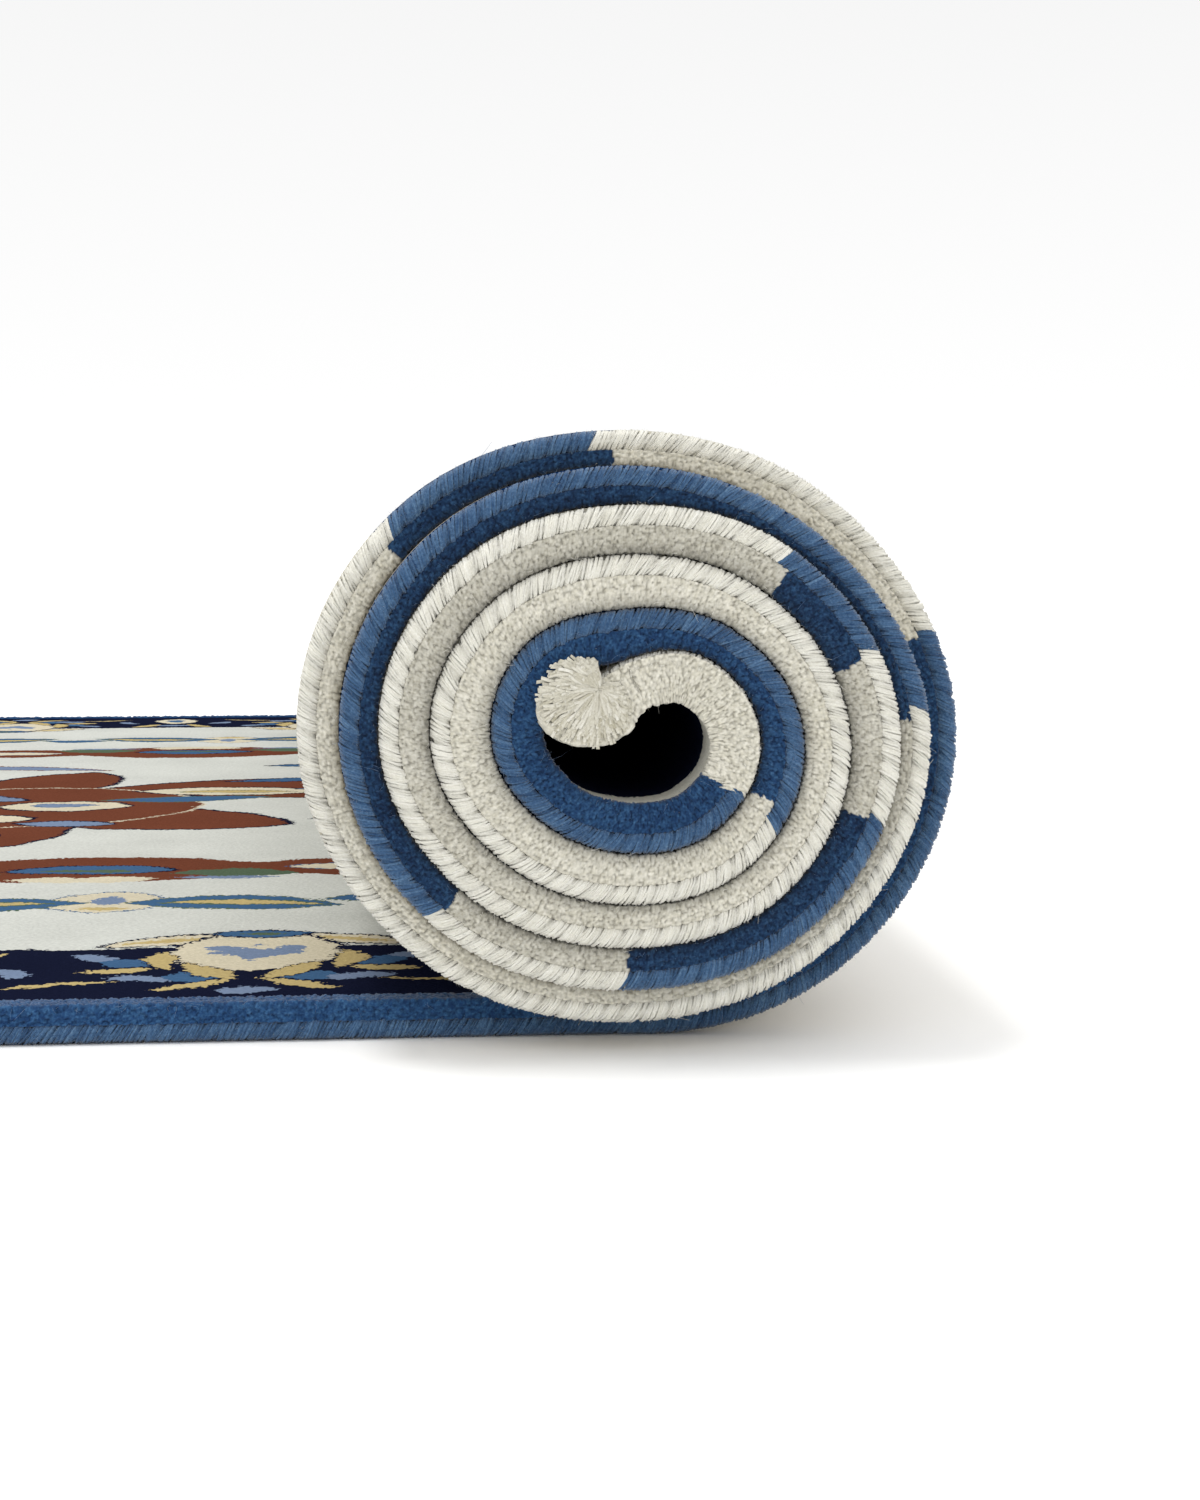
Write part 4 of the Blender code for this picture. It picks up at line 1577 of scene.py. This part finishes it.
@dataclass
class CurledEnd:
    """The inner end, where the tight curl fans the pile out into a soft round head."""

    winding: Winding
    locks: int = 800
    centre: tuple[float, float] = (-0.0079, 0.0158)     # of the head, from the roll's centre
    first: float = radians(-266)                        # the fan's two ends
    last: float = radians(13)
    reach: tuple[float, ...] = (
        0.0085, 0.0118, 0.0170, 0.0205, 0.0212, 0.0192, 0.0176, 0.0150, 0.0100, 0.0070
    )
    reaches: tuple[float, float] = (0.93, 1.03)         # of single locks, against that
    heart_free: float = 0.16                            # share of the head that has no tips
    face_inset: float = 0.0010                          # of the head's rim, from the roll's face
    dome: float = 0.0042                                # how far its middle stands out
    foot_share: float = 0.12                            # where a lock starts, against its tip
    foot_dome: float = 0.75
    foot_inset: float = 0.0006
    tip_stray: float = 0.0003
    foot_stray: float = 0.0004
    bow: float = 0.10                                   # of a lock to any side
    thickness: tuple[float, float] = (0.00070, 0.00115)
    foot_thickness: float = 0.35
    own_side: float = 0.5                               # how the shading of a lock is made up
    along_way: float = 0.25
    to_front: float = 0.6
    dye: float = 0.92
    unevenness: float = 0.16
    # painted shade: the head's locks are painted darker at its heart and lighter towards its rim
    heart_shade: float = 0.90
    rim_light: float = 0.12
    random: np.random.Generator = field(default_factory=lambda: np.random.default_rng(SEED + 2))

    def _laid(self) -> tuple[Numbers, Numbers, Numbers]:
        """Lays the locks out.

        Returns:
            Their feet, the way from each foot to its tip, and how far out the tips are, up to 1.
        """
        random, count = self.random, self.locks
        angle = random.uniform(self.first, self.last, count)
        marks = np.linspace(self.first, self.last, len(self.reach))
        reach = np.interp(angle, marks, self.reach) * random.uniform(*self.reaches, count)
        share = np.sqrt(random.uniform(self.heart_free, 1, count))
        face = -self.winding.width / 2 - self.winding.slip / 2 + self.face_inset
        x, z = self.centre
        heart = np.array([self.winding.foot_x + x, face, self.winding.centre_height + z])
        out = np.column_stack([np.cos(angle), 0 * angle, np.sin(angle)])
        rise = -self.dome * np.sqrt(np.maximum(1 - share**2, 0))
        tip = heart + out * (reach * share)[:, None]
        tip[:, 1] += rise + random.normal(0, self.tip_stray, count)
        foot = heart + out * (reach * share * self.foot_share)[:, None]
        foot[:, 1] += rise * self.foot_dome + self.foot_inset
        foot = foot + random.normal(0, self.foot_stray, foot.shape)
        return foot, tip - foot, share

    def build(self) -> bpy.types.Object:
        """Makes the fan of locks, straight in its place in the roll.

        Returns:
            The piece.
        """
        foot, way, share = self._laid()
        random, count = self.random, self.locks
        tall = np.linalg.norm(way, axis=1)[:, None, None]
        shape = Small.shaft(6, 4, 0.5)
        along = shape.corners[None, :, 2:]
        aside = unit(np.cross(way, random.normal(0, 1, way.shape)))
        third = unit(np.cross(way, aside))
        bow = random.normal(0, self.bow, way.shape)[:, None] * tall
        axis = foot[:, None] + way[:, None] * along + bow * along * (1 - along) * 2
        thick = random.uniform(*self.thickness, count)[:, None, None]
        thick = thick * (self.foot_thickness + (1 - self.foot_thickness) * np.clip(along, 0, 1))
        ring = aside[:, None] * shape.corners[None, :, :1]
        ring = ring + third[:, None] * shape.corners[None, :, 1:2]
        places = axis + ring * thick
        normals = unit(places - axis) * self.own_side + unit(way)[:, None] * self.along_way
        normals = unit(normals + (0.0, -self.to_front, 0.0))
        dye = np.array(Dye.PILE_IVORY.value) * self.dye
        wool = uneven(np.tile(dye, (count, 1)), random, self.unevenness)
        # painted shade at the head's heart, painted lighter towards its rim
        wool = wool * (self.heart_shade + self.rim_light * share)[:, None]
        piece = shape.repeated("curled_end_pile", places, np.clip(wool, 0, 1), normals)
        piece.data.materials.append(Wool("end_wool", roughness=0.95, sheen=0.3, mottle=0.8).material())
        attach(piece, "root")
        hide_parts(CARPET)
        return piece


class Lengths(NamedTuple):
    """How long fibres are, at least and, past that, on average and at most, and how thick."""

    least: float
    mean: float
    most: float
    thin: float
    thick: float


FIBRE = Lengths(0.0007, 0.0004, 0.0014, 0.00005, 0.00009)
HAIR = Lengths(0.0014, 0.0009, 0.0030, 0.00005, 0.00008)


@dataclass
class Fluff:
    """Stray fibres and hairs that stand off the near edge."""

    winding: Winding
    colours: ColourPlan
    edge: PileEdge
    hairs: int = 1800
    fibres: int = 26000
    end_inset: float = 0.003
    reach: float = 0.0044                               # how far in from the edge fibres grow
    yarn_share: float = 0.6                             # of the fibres, on the edge yarn
    yarn_angles: tuple[float, float] = (radians(-120), radians(60))
    yarn_inset: float = 0.0031                          # of the yarn's heart, from the edge
    yarn_height: float = 0.0034                         # and from the back
    yarn_radius: float = 0.0028
    outward: float = 0.7                                # how straight fibres stand off
    scatter: float = 0.65
    unevenness: float = 0.12
    fibre_dye: tuple[float, float] = (1.05, 0.01)       # factor, and what is added
    hair_dye: tuple[float, float] = (1.1, 0.04)
    tip_share: float = 0.4                              # of the hairs, on the pile's tips
    below_tips: float = 0.001
    hair_heights: tuple[float, float] = (0.0005, 0.005)
    hair_insets: tuple[float, float] = (0.0008, 0.0030)
    hair_scatter: tuple[float, float, float] = (0.8, 0.35, 0.5)
    hair_lean: tuple[float, float, float] = (0.0, -0.6, 0.0)
    hair_sag: float = 0.55
    random: np.random.Generator = field(default_factory=lambda: np.random.default_rng(SEED + 3))

    def _spots(self, count: int) -> Numbers:
        """Places along the cut at which fibres stand."""
        return self.random.uniform(self.end_inset, self.winding.length - self.end_inset, count)

    def _sizes(self, kind: Lengths, count: int) -> tuple[Numbers, Numbers]:
        """How long and how thick fibres of a kind are."""
        tall = kind.least + np.minimum(self.random.exponential(kind.mean, count), kind.most)
        return tall, self.random.uniform(kind.thin, kind.thick, count)

    def _fibres(self) -> Growth:
        """Grows short fibres on the pile's side and shoulder, and on the edge yarn.

        Returns:
            The fibres.
        """
        random, count = self.random, self.fibres
        s = self._spots(count)
        _, depth, height, bend = self.edge.surface(s, random.uniform(0, 1, count), self.reach)
        on_yarn = random.uniform(0, 1, count) < self.yarn_share
        angle = np.where(on_yarn, random.uniform(*self.yarn_angles, count), bend)
        depth = np.where(on_yarn, self.yarn_inset - self.yarn_radius * np.cos(angle), depth)
        height = np.where(on_yarn, self.yarn_height + self.yarn_radius * np.sin(angle), height)
        foot = np.column_stack([s, depth - self.winding.width / 2, height])
        out = np.column_stack([0 * s, -np.cos(angle), np.sin(angle)])
        way = out * self.outward + random.normal(0, self.scatter, out.shape)
        tall, thick = self._sizes(FIBRE, count)
        pile = self.colours.edge(s, Dye.DEEP_BLUE, True)
        yarn = self.colours.edge(s, Dye.BLUE, False)
        factor, added = self.fibre_dye
        wool = uneven(np.where(on_yarn[:, None], yarn, pile), random, self.unevenness)
        return Growth(foot, way, tall, thick, wool * factor + added)

    def _hairs(self) -> Growth:
        """Grows longer hairs off the pile's tips and the edge yarn.

        Returns:
            The hairs.
        """
        random, count = self.random, self.hairs
        s = self._spots(count)
        tips = self.winding.nap_at(s) - self.below_tips
        on_tips = random.uniform(0, 1, count) < self.tip_share
        height = np.where(on_tips, tips, random.uniform(*self.hair_heights, count))
        depth = random.uniform(*self.hair_insets, count)
        foot = np.column_stack([s, depth - self.winding.width / 2, height])
        way = random.normal(0, 1, foot.shape) * self.hair_scatter + self.hair_lean
        tall, thick = self._sizes(HAIR, count)
        sag = random.normal(0, self.hair_sag, way.shape) * tall[:, None]
        factor, added = self.hair_dye
        wool = self.colours.edge(s, Dye.BLUE, False) * factor + added
        return Growth(foot, way, tall, thick, wool, sag)

    def build(self) -> list[bpy.types.Object]:
        """Makes the fibres and hairs of the near edge.

        Returns:
            The two pieces.
        """
        finish = Wool("fibre_wool", roughness=0.8, sheen=0.4, mottle=0.3).material()
        fibres = self._fibres().grown("pile_fibres", Small.shaft(3, 0, 0.0), self.winding, 0.6)
        hairs = self._hairs().grown("stray_hairs", Small.shaft(3, 2, 0.4), self.winding, 0.3)
        for piece in (fibres, hairs):
            piece.data.materials.append(finish)
            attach(piece, "root")
        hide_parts(CARPET)
        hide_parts(BINDING)
        return [fibres, hairs]


class Lamp(NamedTuple):
    """A far lamp: its strength, how wide it looks, and which way it shines."""

    name: str
    strength: float
    angle: float
    way: tuple[float, float, float]


@dataclass(frozen=True)
class Studio:
    """The plain white floor, the soft light and the camera."""

    lens: float = 57.6
    pitch: float = radians(5.237)
    yaw: float = radians(5.06)
    from_roll: tuple[float, float, float] = (-0.0715, -0.7210, 0.1629)
    clip_start: float = 0.02
    floor_half: float = 60.0
    floor_colour: tuple[float, float, float, float] = (0.93, 0.93, 0.925, 1.0)
    floor_roughness: float = 0.6
    floor_gloss: float = 0.2
    wall_low: float = 1.03          # brightness of the room at the floor
    wall_high: float = 0.925        # and from fade_height up
    fade_height: float = 0.21
    lamps: tuple[Lamp, ...] = (
        Lamp("window", 1.05, radians(14), (0.28, -0.10, -1.0)),
        Lamp("ceiling", 0.50, radians(70), (0.05, -0.30, -1.0)),
        Lamp("fill", 1.00, radians(90), (0.10, 1.0, -0.22)),
    )

    def floor(self) -> bpy.types.Object:
        """Makes a wide plain floor.

        Returns:
            The floor.
        """
        bm = bmesh.new()
        bmesh.ops.create_grid(bm, x_segments=1, y_segments=1, size=self.floor_half)
        mesh = bpy.data.meshes.new("floor")
        bm.to_mesh(mesh)
        bm.free()
        floor = link("floor", mesh)
        material = bpy.data.materials.new("white_floor")
        material.use_nodes = True
        shader = material.node_tree.nodes["Principled BSDF"]
        shader.inputs["Base Color"].default_value = self.floor_colour
        shader.inputs["Roughness"].default_value = self.floor_roughness
        shader.inputs["Specular IOR Level"].default_value = self.floor_gloss
        mesh.materials.append(material)
        return floor

    def light(self) -> None:
        """Lights a white room with its far lamps."""
        scene = bpy.context.scene
        world = bpy.data.worlds.new("white_room")
        world.use_nodes = True
        tree = world.node_tree
        parts = tree.nodes.new("ShaderNodeSeparateXYZ")
        tree.links.new(tree.nodes.new("ShaderNodeTexCoord").outputs["Generated"], parts.inputs[0])
        fade = tree.nodes.new("ShaderNodeMapRange")
        fade.inputs["From Min"].default_value = 0.0
        fade.inputs["From Max"].default_value = self.fade_height
        fade.inputs["To Min"].default_value = self.wall_low
        fade.inputs["To Max"].default_value = self.wall_high
        tree.links.new(parts.outputs["Z"], fade.inputs["Value"])
        tree.links.new(fade.outputs[0], tree.nodes["Background"].inputs["Strength"])
        tree.nodes["Background"].inputs["Color"].default_value = (1.0, 1.0, 1.0, 1.0)
        scene.world = world
        for lamp in self.lamps:
            sun = bpy.data.lights.new(lamp.name, "SUN")
            sun.angle, sun.energy = lamp.angle, lamp.strength
            holder = bpy.data.objects.new(lamp.name, sun)
            holder.rotation_euler = Vector(lamp.way).to_track_quat("-Z", "Y").to_euler()
            scene.collection.objects.link(holder)
        scene.view_settings.view_transform = "Standard"

    def camera(self, winding: Winding) -> None:
        """Looks at the roll's near end from a little above the floor.

        Args:
            winding: Where the roll lies.
        """
        data = bpy.data.cameras.new("camera")
        data.lens = self.lens
        data.clip_start = self.clip_start
        camera = bpy.data.objects.new("camera", data)
        face = Vector((winding.foot_x, -winding.width / 2 - winding.slip / 2, 0.0))
        camera.location = face + Vector(self.from_roll)
        camera.rotation_euler = (pi / 2 - self.pitch, 0.0, -self.yaw)
        bpy.context.scene.collection.objects.link(camera)
        bpy.context.scene.camera = camera


def main() -> None:
    """Builds every piece, the room and the camera."""
    logging.basicConfig(level=logging.INFO, format="%(message)s")
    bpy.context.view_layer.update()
    winding = Winding()
    colours = ColourPlan(winding)
    LOG.info("flat cut: %.3f by %.3f m", winding.width, winding.length)
    pieces = [Body(winding, colours).build()]
    pieces += EdgeYarn(winding, colours).build()
    pile_edge = PileEdge(winding, colours)
    pieces += pile_edge.build()
    pieces.append(CurledEnd(winding).build())
    pieces += Fluff(winding, colours, pile_edge).build()
    for piece in pieces:
        report(piece)
    studio = Studio()
    studio.floor()
    studio.light()
    studio.camera(winding)


if __name__ == "__main__":
    main()
